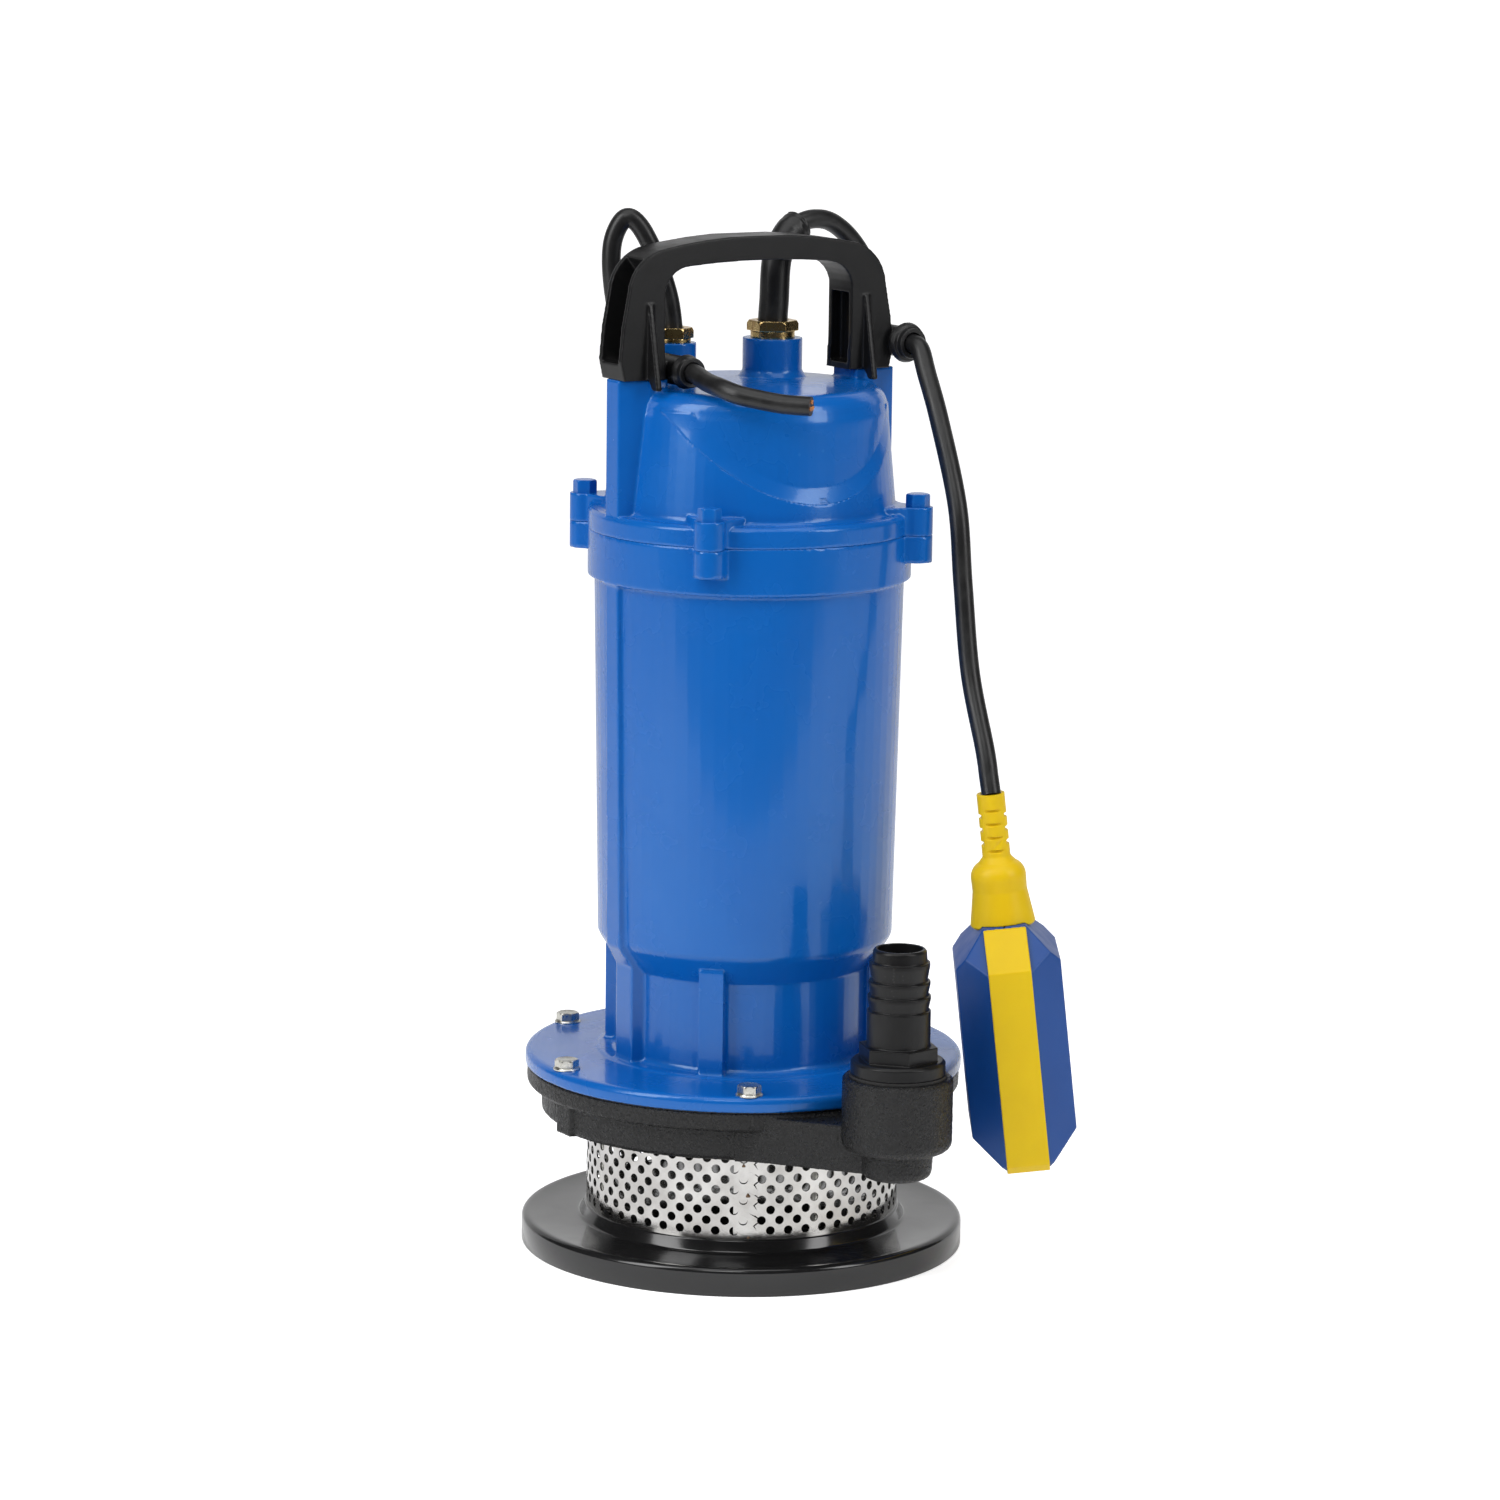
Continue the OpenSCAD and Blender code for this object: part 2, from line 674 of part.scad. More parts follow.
module top_cover() {
    wall = 4;
    color(paint_blue) difference() {
        union() {
            difference() {
                cover_shell();
                front_recess();
            }
            at_angles([0, 180], 0) handle_pillar();
            at_angles(lug_angles, 0) cover_lug();
            gland_boss(float_gland, gland_boss_r, gland_z);
            gland_boss(power_gland, small_boss_r, small_gland_z);
        }
        revolve([[0, joint_z - 1], [carrier_bore_r - 2, joint_z - 1], [carrier_bore_r - 2, cover_ring_z],
                 [cover_shoulder_r - wall, shoulder_z - 6], [cover_shoulder_r - wall - 5, cover_top_z - wall],
                 [0, cover_top_z - wall]]);
        translate([float_gland[0], float_gland[1], 400]) cylinder(r = 10, h = 40);
        translate([power_gland[0], power_gland[1], 400]) cylinder(r = 7.5, h = 40);
        at_angles(lug_angles, lug_bolt_r) translate([0, 0, joint_z - 1]) cylinder(r = m6_hole_r, h = 20);
        at_angles([0, 180], handle_screw_x) translate([0, 0, 398]) cylinder(r = 2.45, h = 30);
    }
}

module cover_bolts() {
    color(paint_blue) at_angles(lug_angles, lug_bolt_r) {
        translate([0, 0, lug_z + 3]) cylinder(r = m6_r, h = lug_top_z - lug_z - 2);
        translate([0, 0, lug_top_z]) hex_prism(m6_af, 6.4);
    }
}

// ---- Handle ----

function flipped(points) = [for (p = points) [-p[0], p[1]]];

function backwards(points) = [for (i = [len(points) - 1:-1:0]) points[i]];

function outer_half() = concat(
    [[73.1, pad_z], [75.1, pad_z + 9], [73.7, 445]],
    arc(shoulder, shoulder_r, 4, 84, 8),
    [for (x = [43, 29, 15]) [x, handle_z - x * x / (2 * crown_r)]]);

function inner_half() = concat(
    [[50.5, pad_z], [51.5, 440]],
    arc(inner_corner, inner_r, 0, 84, 6),
    [[25, 474], [10, 474.6]]);

module handle_outline() {
    polygon(concat(
        outer_half(), backwards(flipped(outer_half())),
        flipped(inner_half()), backwards(inner_half())));
}

// Open channel down the outside of a leg
module outer_channel() {
    floor_r = 12;
    stop_a = 52;
    half_w = handle_half_w - leg_wall;
    rotate([90, 0, 0]) translate([0, 0, -half_w]) linear_extrude(2 * half_w)
        polygon(concat(
            [[90, pad_z + foot_t], [90, 490], shoulder + 40 * [cos(stop_a), sin(stop_a)]],
            arc(shoulder, floor_r, stop_a, 0, 4),
            [[shoulder[0] + floor_r, pad_z + foot_t]]));
}

// Shallower channel up the inside of a leg
module inner_channel() {
    half_w = handle_half_w - leg_wall;
    translate([42.5, -half_w, pad_z + 3]) cube([14.4, 2 * half_w, inner_corner[1] - pad_z - 5]);
}

module gusset_fin() {
    fin_t = 3;
    translate([58, 0, 0]) rotate([90, 0, 90]) linear_extrude(fin_t)
        polygon([[0.5 - handle_half_w, 456], [-handle_half_w - 0.6, 456], [-19.5, 416.6], [-15, 416.6],
                 [0.5 - handle_half_w, pad_z + 2]]);
}

module grommet_holder(at, r, bore, root_x) {
    back_y = 9;
    difference() {
        union() {
            translate([at[0], back_y, at[2]]) rotate([90, 0, 0]) cylinder(r = r, h = back_y - at[1]);
            translate([min(at[0], root_x), -7, at[2] - 3.4]) cube([abs(at[0] - root_x), 14, 7.4]);
        }
        translate([at[0], back_y + 1, at[2]]) rotate([90, 0, 0]) cylinder(r = bore, h = 40);
    }
}

module handle_bar() {
    difference() {
        rotate([90, 0, 0]) translate([0, 0, -handle_half_w])
            linear_extrude(2 * handle_half_w) handle_outline();
        at_angles([0, 180], 0) outer_channel();
        at_angles([0, 180], 0) inner_channel();
    }
    gusset_fin();
    mirror([1, 0, 0]) gusset_fin();
}

module handle() {
    screw_hole_r = 2.6;
    cable_hole_r = 5.2;
    color(plastic_black) difference() {
        union() {
            translate([handle_shift, 0, 0]) handle_bar();
            grommet_holder(power_grommet_at, 7, 5, -58);
            grommet_holder(float_grommet_at, 7.4, cable_hole_r, 70.6);
        }
        at_angles([0, 180], handle_screw_x) translate([0, 0, pad_z - 1])
            cylinder(r = screw_hole_r, h = foot_t + 3);
        translate([float_grommet_at[0], 12, float_grommet_at[2]]) rotate([90, 0, 0])
            cylinder(r = cable_hole_r, h = 40);
    }
}

module handle_screws() {
    color(steel) at_angles([0, 180], handle_screw_x) {
        translate([0, 0, 399]) cylinder(r = 2.4, h = pad_z + foot_t - 399);
        translate([0, 0, pad_z + foot_t]) cylinder(r = 3.7, h = 3);
    }
}

// ---- Glands and cables ----

module gland_body(at, z, plug_r, collar_r, collar_h, neck, bore) {
    color(brass) translate([at[0], at[1], 0]) difference() {
        union() {
            translate([0, 0, z - 12]) cylinder(r = plug_r, h = 12);
            translate([0, 0, z]) cylinder(r = collar_r, h = collar_h);
            translate([0, 0, z + collar_h - 1]) cylinder(r = neck, h = 3.6);
        }
        translate([0, 0, z - 13]) cylinder(r = bore, h = 30);
    }
}

module gland_nut(at, z, flats, neck, bore, turn) {
    nut_h = 5;
    color(brass) translate([at[0], at[1], z + 0.1]) difference() {
        intersection() {
            rotate([0, 0, turn]) hex_prism(flats, nut_h);
            cylinder(r1 = flats * 0.68, r2 = flats * 0.53, h = nut_h);
        }
        translate([0, 0, -1]) cylinder(r = neck + 0.05, h = 4);
        translate([0, 0, -1]) cylinder(r = bore, h = 10);
    }
}

module gland_seal(at, z, r_out, r_in) {
    color("black") translate([at[0], at[1], z - 6]) tube(r_out, r_in, 10);
}

float_collar_h = 3.2;
power_collar_h = 1.9;

module float_gland_body() { gland_body(float_gland, gland_z, 9.95, 10.6, float_collar_h, 9, 8.7); }
module float_gland_nut() { gland_nut(float_gland, gland_z + float_collar_h, 21.5, 9, 7.5, 28); }
module float_gland_seal() { gland_seal(float_gland, gland_z, 8.65, sleeve_r + 0.1); }
module power_gland_body() { gland_body(power_gland, small_gland_z, 7.45, 8.2, power_collar_h, 6.6, 6.2); }
module power_gland_nut() { gland_nut(power_gland, small_gland_z + power_collar_h, 16.5, 6.6, 5, 28); }
module power_gland_seal() { gland_seal(power_gland, small_gland_z, 6.15, power_cable_r + 0.15); }

module grommet(at, r, bore) {
    color("black") translate([at[0], at[1] - 0.1, at[2]]) rotate([90, 0, 0]) difference() {
        union() {
            cylinder(r1 = r, r2 = r - 1, h = 2.6);
            cylinder(r = bore + 2.2, h = grommet_t - 2);
        }
        translate([0, 0, -1]) cylinder(r = bore, h = grommet_t + 2);
    }
}

module power_grommet() { grommet(power_grommet_at, 8.2, power_cable_r + 0.5); }
module float_grommet() { grommet(float_grommet_at, 9.7, float_cable_r + 0.5); }

power_path = [
    [power_gland[0], power_gland[1], 404], [power_gland[0], power_gland[1], 430], [-30.2, 22, 441],
    [-33, 22.2, 457], [-39.4, 24, 475.6], [-46.5, 27, 489.7], [-52.4, 30, 492.8], [-57, 33, 482.4],
    [-57.5, 33, 466], [-55, 30, 446], [-49, 22, 430], [-44.6, 10, 424.6], [-44.6, -8, 424.6],
    [-44.6, -20.5, 424.6], [-46, -35, 422], [-46.6, -48.7, 420.6], [-44, -57.5, 418.6],
    [-39.1, -62.8, 417.1], [-27, -70.3, 414.3], [-16.4, -74.5, 413.3]
];

sleeve_path = [
    [float_gland[0], float_gland[1], 404], [float_gland[0], float_gland[1], 440], [25.6, 22, 452],
    [27, 22.4, 471], [33, 24, 482], [40, 25.2, 487]
];

loop_path = [
    [42, 25.6, 488], [50.6, 26.6, 489.6], [60, 27.4, 488], [70, 28, 481.5], [79, 28.4, 471],
    [84.6, 28, 458],
    [84.4, 24.5, 445], [79.6, 17.5, 435.4], [77.8, 9, 433], [77.8, -3, 433], [77.8, -15, 433]
];

module power_cable() { color(plastic_black) cable(curve(power_path, 2), power_cable_r); }
module float_cable_sleeve() { color(plastic_black) cable(curve(sleeve_path, 2), sleeve_r - 0.1); }
module float_cable_loop() { color(plastic_black) difference() {
    cable(curve(loop_path, 2), float_cable_r);
    translate([40, 25.2, 487]) sphere(r = sleeve_r + 0.1, $fn = 24);
} }

// Bare ends of the conductors where the power cable is cut
module power_cores() {
    end = power_path[len(power_path) - 1];
    before = power_path[len(power_path) - 2];
    heading = atan2(end[1] - before[1], end[0] - before[0]);
    color("darkorange") translate(end) rotate([0, 0, heading]) rotate([0, 90, 0])
        around(3, 2) translate([0, 0, power_cable_r + 0.05]) cylinder(r = 1, h = 1.2);
}

// ---- Float switch ----

// Places the children in the float's own frame: its axis runs down -Z from the lower pivot
module in_float() {
    translate(float_pivot) rotate([0, 0, float_turn]) rotate([0, -float_tilt, 0]) children();
}

module float_tether() {
    color(plastic_black) cable(curve([for (p = tether_sz) tether_point(p)], 3), float_cable_r - 0.1);
}

module float_lead() {
    color(plastic_black) in_float() translate([0, 0, float_top - 6])
        cylinder(r = float_cable_r - 0.1, h = boot_len + 4);
}

// Slots that let the boot's neck bend: short ones front and back, between longer ones at the sides
module boot_slots(top) {
    pitch = 6.4;
    inner = float_cable_r + 0.6;
    for (i = [0:3], side = [-1, 1])
        translate([-4, side > 0 ? inner : -inner - 4, top - 8.4 - i * pitch]) cube([8, 4, 1.2]);
    for (i = [0:2], side = [-1, 1])
        translate([side > 0 ? inner : -inner - 4, -5, top - 11.5 - i * pitch]) cube([4, 10, 2]);
}

module float_boot() {
    bell_z = float_top;
    top = -boot_gap;
    neck_r = 6.6;
    color(float_yellow) in_float() difference() {
        union() {
            translate([0, 0, top - 32]) cylinder(r = neck_r, h = 32);
            revolve(concat(
                [[0, top - 30], [neck_r, top - 30]],
                arc([5.2, top - 39.6], 7.8, 62, 0, 6),
                [[12.8, top - 46], [15.3, bell_z - 1], [14.6, bell_z - 2], [0, bell_z - 2]]));
        }
        boot_slots(top);
        translate([0, 0, float_top - 10]) cylinder(r = float_cable_r, h = boot_len + 20);
        float_body_block(slip);
    }
}

// Block with every edge bevelled, hanging from the origin along -Z
module bevelled_block(t, w, l, side_c, top_c, end_c) {
    intersection() {
        translate([0, 0, -l]) linear_extrude(l) polygon([
            [-t / 2, -w / 2 + side_c], [-band_w / 2, -w / 2], [band_w / 2, -w / 2], [t / 2, -w / 2 + side_c],
            [t / 2, w / 2 - side_c], [band_w / 2, w / 2], [-band_w / 2, w / 2], [-t / 2, w / 2 - side_c]]);
        translate([0, w / 2, 0]) rotate([90, 0, 0]) linear_extrude(w) polygon([
            [-t / 2, -top_c], [-band_w / 2, 0], [band_w / 2, 0], [t / 2, -top_c],
            [t / 2, -l + end_c], [band_w / 2, -l], [-band_w / 2, -l], [-t / 2, -l + end_c]]);
        translate([-t / 2, 0, 0]) rotate([90, 0, 90]) linear_extrude(t) polygon([
            [-w / 2, -18], [-w / 2 + 22, 0], [w / 2 - 22, 0], [w / 2, -18],
            [w / 2, -l + 4], [w / 2 - 4, -l], [-w / 2 + 4, -l], [-w / 2, -l + 4]]);
    }
}

module float_body_block(grow = 0) {
    side_c = 13;
    top_c = 16;
    end_c = 15;
    translate([0, 0, float_top + grow])
        bevelled_block(float_t + 2 * grow, float_w + 2 * grow, float_len + 2 * grow, side_c, top_c, end_c);
}

module float_shell(side) {
    seam = 0.05;
    in_float() difference() {
        intersection() {
            float_body_block();
            translate([side > 0 ? seam : -60, -60, float_top - 200]) cube([60 - seam, 120, 240]);
        }
        float_body_block(-shell_wall);
        translate([0, 0, float_top - 20]) cylinder(r = float_cable_r + 0.4, h = 40);
    }
}

module float_shell_left() { color(paint_blue) float_shell(-1); }
module float_shell_right() { color(paint_blue) float_shell(1); }

module float_band() {
    band_t = 1.2;
    color(float_yellow) in_float() difference() {
        intersection() {
            float_body_block(band_t);
            translate([-band_w / 2, -60, float_top - 200]) cube([band_w, 120, 200 - 0.4]);
        }
        float_body_block(0.03);
        translate([0, 0, float_top - 4]) cylinder(r = 17, h = 20);
    }
}

track_r = ball_r + 1.4;
track_len = 46;
track_z = float_top - float_len + shell_wall + 0.3;

module ball_track() {
    color("white") in_float() translate([0, 0, track_z]) difference() {
        cylinder(r = track_r, h = track_len);
        translate([0, 0, 2]) cylinder(r = ball_r + 0.1, h = track_len);
    }
}

module switch_ball() {
    color(steel) in_float() translate([0, 0, track_z + 2.1 + ball_r]) sphere(r = ball_r, $fn = 48);
}

module microswitch() {
    body_z = float_top - 42;
    color("dimgray") in_float() {
        translate([-5.2, -10, body_z]) cube([10.4, 20, 28]);
        translate([-2, -6, body_z - 2.2]) cube([4, 4, 3]);
        for (side = [-1, 1]) translate([lever_x - 2, side * 7.8 - 0.8, lever_z - 1.6]) cube([6, 1.6, 9]);
        translate([lever_x, 8, lever_z]) rotate([90, 0, 0]) cylinder(r = lever_pin_r, h = 16);
    }
}

// Hinged paddle that the ball pushes when the float turns over
module switch_lever() {
    color(steel) in_float() difference() {
        union() {
            translate([lever_x, 6, lever_z]) rotate([90, 0, 0]) cylinder(r = 2, h = 12);
            translate([lever_x, -5, lever_z - 0.5]) cube([15, 10, 1]);
        }
        translate([lever_x, 8, lever_z]) rotate([90, 0, 0]) cylinder(r = lever_pin_r + slip, h = 16);
    }
}

base_plate();
strainer();
tie_bolts();
volute();
volute_gasket();
hose_connector();
connector_seal();
impeller();
impeller_washer();
impeller_nut();
impeller_key();
oil_chamber_cover();
oil_cover_screws();
seal_seat();
seal_head();
oil_seal();
motor_housing();
flange_bolts();
lower_bearing_outer();
lower_bearing_inner();
lower_bearing_balls();
upper_bearing_outer();
upper_bearing_inner();
upper_bearing_balls();
shaft();
rotor_core();
rotor_cage();
stator_core();
stator_windings();
bearing_carrier();
carrier_ring();
capacitor();
capacitor_bracket();
cover_seal();
top_cover();
cover_bolts();
handle();
handle_screws();
float_gland_body();
float_gland_seal();
float_gland_nut();
power_gland_body();
power_gland_seal();
power_gland_nut();
power_grommet();
float_grommet();
power_cable();
power_cores();
float_cable_loop();
float_cable_sleeve();
float_tether();
float_lead();
float_boot();
float_band();
float_shell_left();
float_shell_right();
ball_track();
switch_ball();
microswitch();
switch_lever();
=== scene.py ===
"""Looks of the submersible sump pump: painted castings, strainer, brass glands, rubber cables and float.

Every length in this script is in millimetres, and MM turns it into metres when a mesh is made.
"""
import functools
import json
import math

import bmesh
import bpy
import numpy as np
from mathutils import Matrix, Vector, noise

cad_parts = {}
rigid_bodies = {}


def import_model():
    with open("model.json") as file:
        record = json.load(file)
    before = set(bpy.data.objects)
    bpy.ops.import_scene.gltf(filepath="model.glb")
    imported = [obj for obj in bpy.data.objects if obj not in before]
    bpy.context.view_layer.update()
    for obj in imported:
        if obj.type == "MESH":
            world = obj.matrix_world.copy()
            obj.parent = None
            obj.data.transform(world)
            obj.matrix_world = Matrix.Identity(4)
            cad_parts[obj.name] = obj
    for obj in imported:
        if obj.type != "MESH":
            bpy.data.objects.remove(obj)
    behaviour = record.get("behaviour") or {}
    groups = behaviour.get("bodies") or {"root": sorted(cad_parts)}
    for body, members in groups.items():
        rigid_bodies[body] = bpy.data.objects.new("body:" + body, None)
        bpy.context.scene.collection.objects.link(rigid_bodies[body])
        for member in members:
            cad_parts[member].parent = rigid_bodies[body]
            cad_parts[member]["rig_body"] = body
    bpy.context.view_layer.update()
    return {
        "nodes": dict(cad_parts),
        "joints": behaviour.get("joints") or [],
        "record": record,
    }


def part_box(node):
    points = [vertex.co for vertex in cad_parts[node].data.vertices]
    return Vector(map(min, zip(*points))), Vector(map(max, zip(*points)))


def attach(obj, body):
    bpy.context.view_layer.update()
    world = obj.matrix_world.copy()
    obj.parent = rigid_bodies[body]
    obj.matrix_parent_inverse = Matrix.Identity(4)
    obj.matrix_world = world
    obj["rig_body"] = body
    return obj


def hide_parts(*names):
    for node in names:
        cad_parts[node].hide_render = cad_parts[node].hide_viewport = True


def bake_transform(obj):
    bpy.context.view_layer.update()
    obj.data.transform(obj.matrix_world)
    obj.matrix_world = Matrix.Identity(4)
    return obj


MM = 0.001
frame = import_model()
nodes = frame["nodes"]
joints = {j["name"]: j for j in frame["joints"]}
node_body = {name: node["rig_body"] for name, node in nodes.items()}


# ---------------------------------------------------------------- sizes

COLUMNS = 54                # holes round the strainer
ROWS = 8
ROW_PITCH = 5.0
FIRST_ROW = 4.2             # from the strainer's foot to the centre of its lowest holes
HOLE_R = 2.12
HOLE_STEPS = 12             # points on each side of a cell of the sheet
SHEET_T = 0.7
SEAM_ANGLE = math.radians(-116.6)
HOLE_PHASE = 1 / 3          # where the first hole of a full row sits, in columns past the seam
BLIND = HOLE_PHASE - 1      # column backed by the inner end of the sheet
BACKING = HOLE_PHASE - 1.5  # where that inner end starts
LAP_COLUMNS = 7             # columns over which the sheet climbs over its own end

RECESS_AT = (-3, 428)       # x and z of the centre of the round recess in the cover's front
RECESS_R = 61.5
LEDGE = 7.0                 # width of the sloping ledge round the recess's foot

BOLT_FLATS = 10.0
SHANK_R = 3.0
FLANGE_BOLT_R = 98          # circle of the six bolts in the motor flange
LUG_BOLT_R = 81             # circle of the four bolts in the cover's lugs

POWER_CABLE_R = 4.5
FLOAT_CABLE_R = 4.6
SLEEVE_R = 7.1
CORE_R = 2.0                # from the power cable's centre to the centre of each core
STRAND_R = 0.36
STRAND_PITCH = 0.72

CAMERA_AZIMUTH = -31.8
CAMERA_PITCH = 10.26
CAMERA_ROLL = 0.73
CAMERA_AT = Vector((-1316.2, -2125.5, 692.5))
CAMERA_LENS = 127.7
LIGHTS_AIM = Vector((0, 0, 230))


# ---------------------------------------------------------------- materials

class Shader:
    """Builds one procedural material: each call adds a node and returns its output."""

    def __init__(self, name):
        self.material = bpy.data.materials.new(name)
        self.material.use_nodes = True
        self.tree = self.material.node_tree
        self.principled = self.tree.nodes["Principled BSDF"]
        self.position = self.node("ShaderNodeTexCoord").outputs["Object"]

    def node(self, kind, **settings):
        made = self.tree.nodes.new(kind)
        for key, value in settings.items():
            setattr(made, key, value)
        return made

    def feed(self, socket, value):
        """Links a socket to another node's output, or sets its value."""
        if isinstance(value, bpy.types.NodeSocket):
            self.tree.links.new(value, socket)
        else:
            socket.default_value = value

    def noise(self, size_mm, detail=3.0, rough=0.55, stretch=(1, 1, 1)):
        """Soft noise whose features are about size_mm wide."""
        mapping = self.node("ShaderNodeMapping")
        self.feed(mapping.inputs["Vector"], self.position)
        mapping.inputs["Scale"].default_value = stretch
        made = self.node("ShaderNodeTexNoise")
        self.feed(made.inputs["Vector"], mapping.outputs["Vector"])
        made.inputs["Scale"].default_value = 1 / (size_mm * MM)
        made.inputs["Detail"].default_value = detail
        made.inputs["Roughness"].default_value = rough
        return made.outputs["Fac"]

    def cells(self, size_mm):
        """Pebbled cells about size_mm wide."""
        made = self.node("ShaderNodeTexVoronoi", feature="F1")
        self.feed(made.inputs["Vector"], self.position)
        made.inputs["Scale"].default_value = 1 / (size_mm * MM)
        return made.outputs["Distance"]

    def ramp(self, value, low, high, out_low=0.0, out_high=1.0):
        """Maps low..high of a value onto out_low..out_high."""
        made = self.node("ShaderNodeMapRange")
        self.feed(made.inputs["Value"], value)
        made.inputs["From Min"].default_value = low
        made.inputs["From Max"].default_value = high
        made.inputs["To Min"].default_value = out_low
        made.inputs["To Max"].default_value = out_high
        return made.outputs["Result"]

    def blend_colors(self, factor, a, b):
        """Mix of two colours, each an (r, g, b) or another node's output."""
        made = self.node("ShaderNodeMix", data_type="RGBA")
        self.feed(made.inputs[0], factor)
        self.feed(made.inputs[6], a if isinstance(a, bpy.types.NodeSocket) else (*a, 1))
        self.feed(made.inputs[7], b if isinstance(b, bpy.types.NodeSocket) else (*b, 1))
        return made.outputs[2]

    def calculate(self, operation, a, b):
        made = self.node("ShaderNodeMath", operation=operation)
        self.feed(made.inputs[0], a)
        self.feed(made.inputs[1], b)
        return made.outputs[0]

    def multiply(self, a, b):
        return self.calculate("MULTIPLY", a, b)

    def add(self, a, b):
        return self.calculate("ADD", a, b)

    def edges(self, low=0.52, high=0.6):
        """1 on outer edges and 0 on flats, for worn corners."""
        geometry = self.node("ShaderNodeNewGeometry")
        return self.ramp(geometry.outputs["Pointiness"], low, high)

    def hollows(self, low=0.4, high=0.49):
        """1 in inside corners and 0 on flats, for painted shade there, and for grime on fasteners."""
        geometry = self.node("ShaderNodeNewGeometry")
        return self.ramp(geometry.outputs["Pointiness"], low, high, 1.0, 0.0)

    def bump(self, height, depth_mm, strength=1.0, normal=None):
        made = self.node("ShaderNodeBump")
        made.inputs["Strength"].default_value = strength
        made.inputs["Distance"].default_value = depth_mm * MM
        self.feed(made.inputs["Height"], height)
        if normal is not None:
            self.feed(made.inputs["Normal"], normal)
        return made.outputs["Normal"]

    def finish(self, **inputs):
        """Feeds the surface's inputs, named with _ for each space, and returns the material."""
        for key, value in inputs.items():
            self.feed(self.principled.inputs[key.replace("_", " ")], value)
        return self.material


def blue_enamel():
    """Thick glossy paint over an aluminium casting."""
    s = Shader("blue_enamel")
    deep, bright = (0.001, 0.098, 0.42), (0.0015, 0.125, 0.49)
    painted_corner_shade, rubbed = (0.0, 0.045, 0.24), (0.05, 0.24, 0.62)
    tone = s.blend_colors(s.noise(60, 2), deep, bright)
    # Painted shade: the blue darkens in inside corners.
    tone = s.blend_colors(s.multiply(s.hollows(), 0.35), tone, painted_corner_shade)
    tone = s.blend_colors(s.multiply(s.edges(0.53, 0.62), 0.25), tone, rubbed)
    peel = s.bump(s.noise(5.5, 2), 0.05, 0.6)
    grain = s.bump(s.noise(0.9, 3), 0.02, 0.5, peel)
    return s.finish(
        Base_Color=tone, Roughness=s.ramp(s.noise(25, 3), 0.3, 0.7, 0.22, 0.3), Normal=grain,
        Coat_Weight=0.4, Coat_Roughness=0.08, IOR=1.5, Specular_Tint=(0.55, 0.85, 1.0, 1.0))


def black_enamel():
    """Smooth glossy enamel on the pressed base plate, with a little dust on its top."""
    s = Shader("black_enamel")
    clean, dusty, rubbed = (0.007, 0.007, 0.0075), (0.08, 0.08, 0.08), (0.09, 0.09, 0.09)
    tone = s.blend_colors(s.multiply(s.noise(9, 6, 0.7), 0.10), clean, dusty)
    tone = s.blend_colors(s.multiply(s.edges(0.55, 0.7), 0.3), tone, rubbed)
    return s.finish(
        Base_Color=tone, Roughness=s.ramp(s.noise(14, 5), 0.3, 0.7, 0.12, 0.22),
        Normal=s.bump(s.noise(4, 2), 0.03, 0.5), Coat_Weight=0.3, Coat_Roughness=0.1)


def sand_casting():
    """Grainy sand casting under thin black paint."""
    s = Shader("sand_casting")
    pits, peaks = (0.002, 0.002, 0.0022), (0.013, 0.013, 0.0135)
    grit = s.noise(0.9, 4, 0.7)
    lumps = s.noise(3.2, 3, 0.6)
    tone = s.blend_colors(s.ramp(grit, 0.35, 0.68), pits, peaks)
    rough_skin = s.bump(s.add(grit, s.multiply(s.cells(1.6), 0.5)), 0.6, 1.0)
    return s.finish(
        Base_Color=tone, Roughness=s.ramp(lumps, 0.35, 0.65, 0.22, 0.36),
        Normal=s.bump(lumps, 0.35, 0.5, rough_skin), Specular_IOR_Level=0.45)


def machined_iron():
    """Turned cast iron of the plates inside the pump."""
    s = Shader("machined_iron")
    dark, light = (0.09, 0.09, 0.092), (0.17, 0.165, 0.16)
    tone = s.blend_colors(s.noise(2, 5), dark, light)
    cuts = s.bump(s.noise(0.7, 3), 0.05, 0.6)
    return s.finish(Base_Color=tone, Metallic=0.7, Roughness=0.45, Normal=cuts)


def polished_sheet():
    """Bright rolled stainless sheet with faint rolling lines and handling marks."""
    s = Shader("polished_sheet")
    bright, smeared = (0.66, 0.65, 0.63), (0.48, 0.465, 0.445)
    lines = s.noise(1.5, 4, 0.6, (1, 1, 14))
    smears = s.noise(16, 4, 0.6)
    tone = s.blend_colors(s.ramp(smears, 0.35, 0.7), bright, smeared)
    marks = s.add(s.multiply(lines, 0.5), smears)
    return s.finish(
        Base_Color=tone, Metallic=1.0, Roughness=s.ramp(marks, 0.4, 1.1, 0.06, 0.16),
        Normal=s.bump(lines, 0.012, 0.5))


def weld_scorch():
    """Brown heat marks of the spot welds down the strainer's seam."""
    s = Shader("weld_scorch")
    burnt, straw = (0.12, 0.05, 0.02), (0.4, 0.27, 0.17)
    tone = s.blend_colors(s.noise(0.8, 4), burnt, straw)
    return s.finish(Base_Color=tone, Metallic=0.6, Roughness=0.5, Normal=s.bump(s.noise(0.5, 3), 0.1, 0.8))


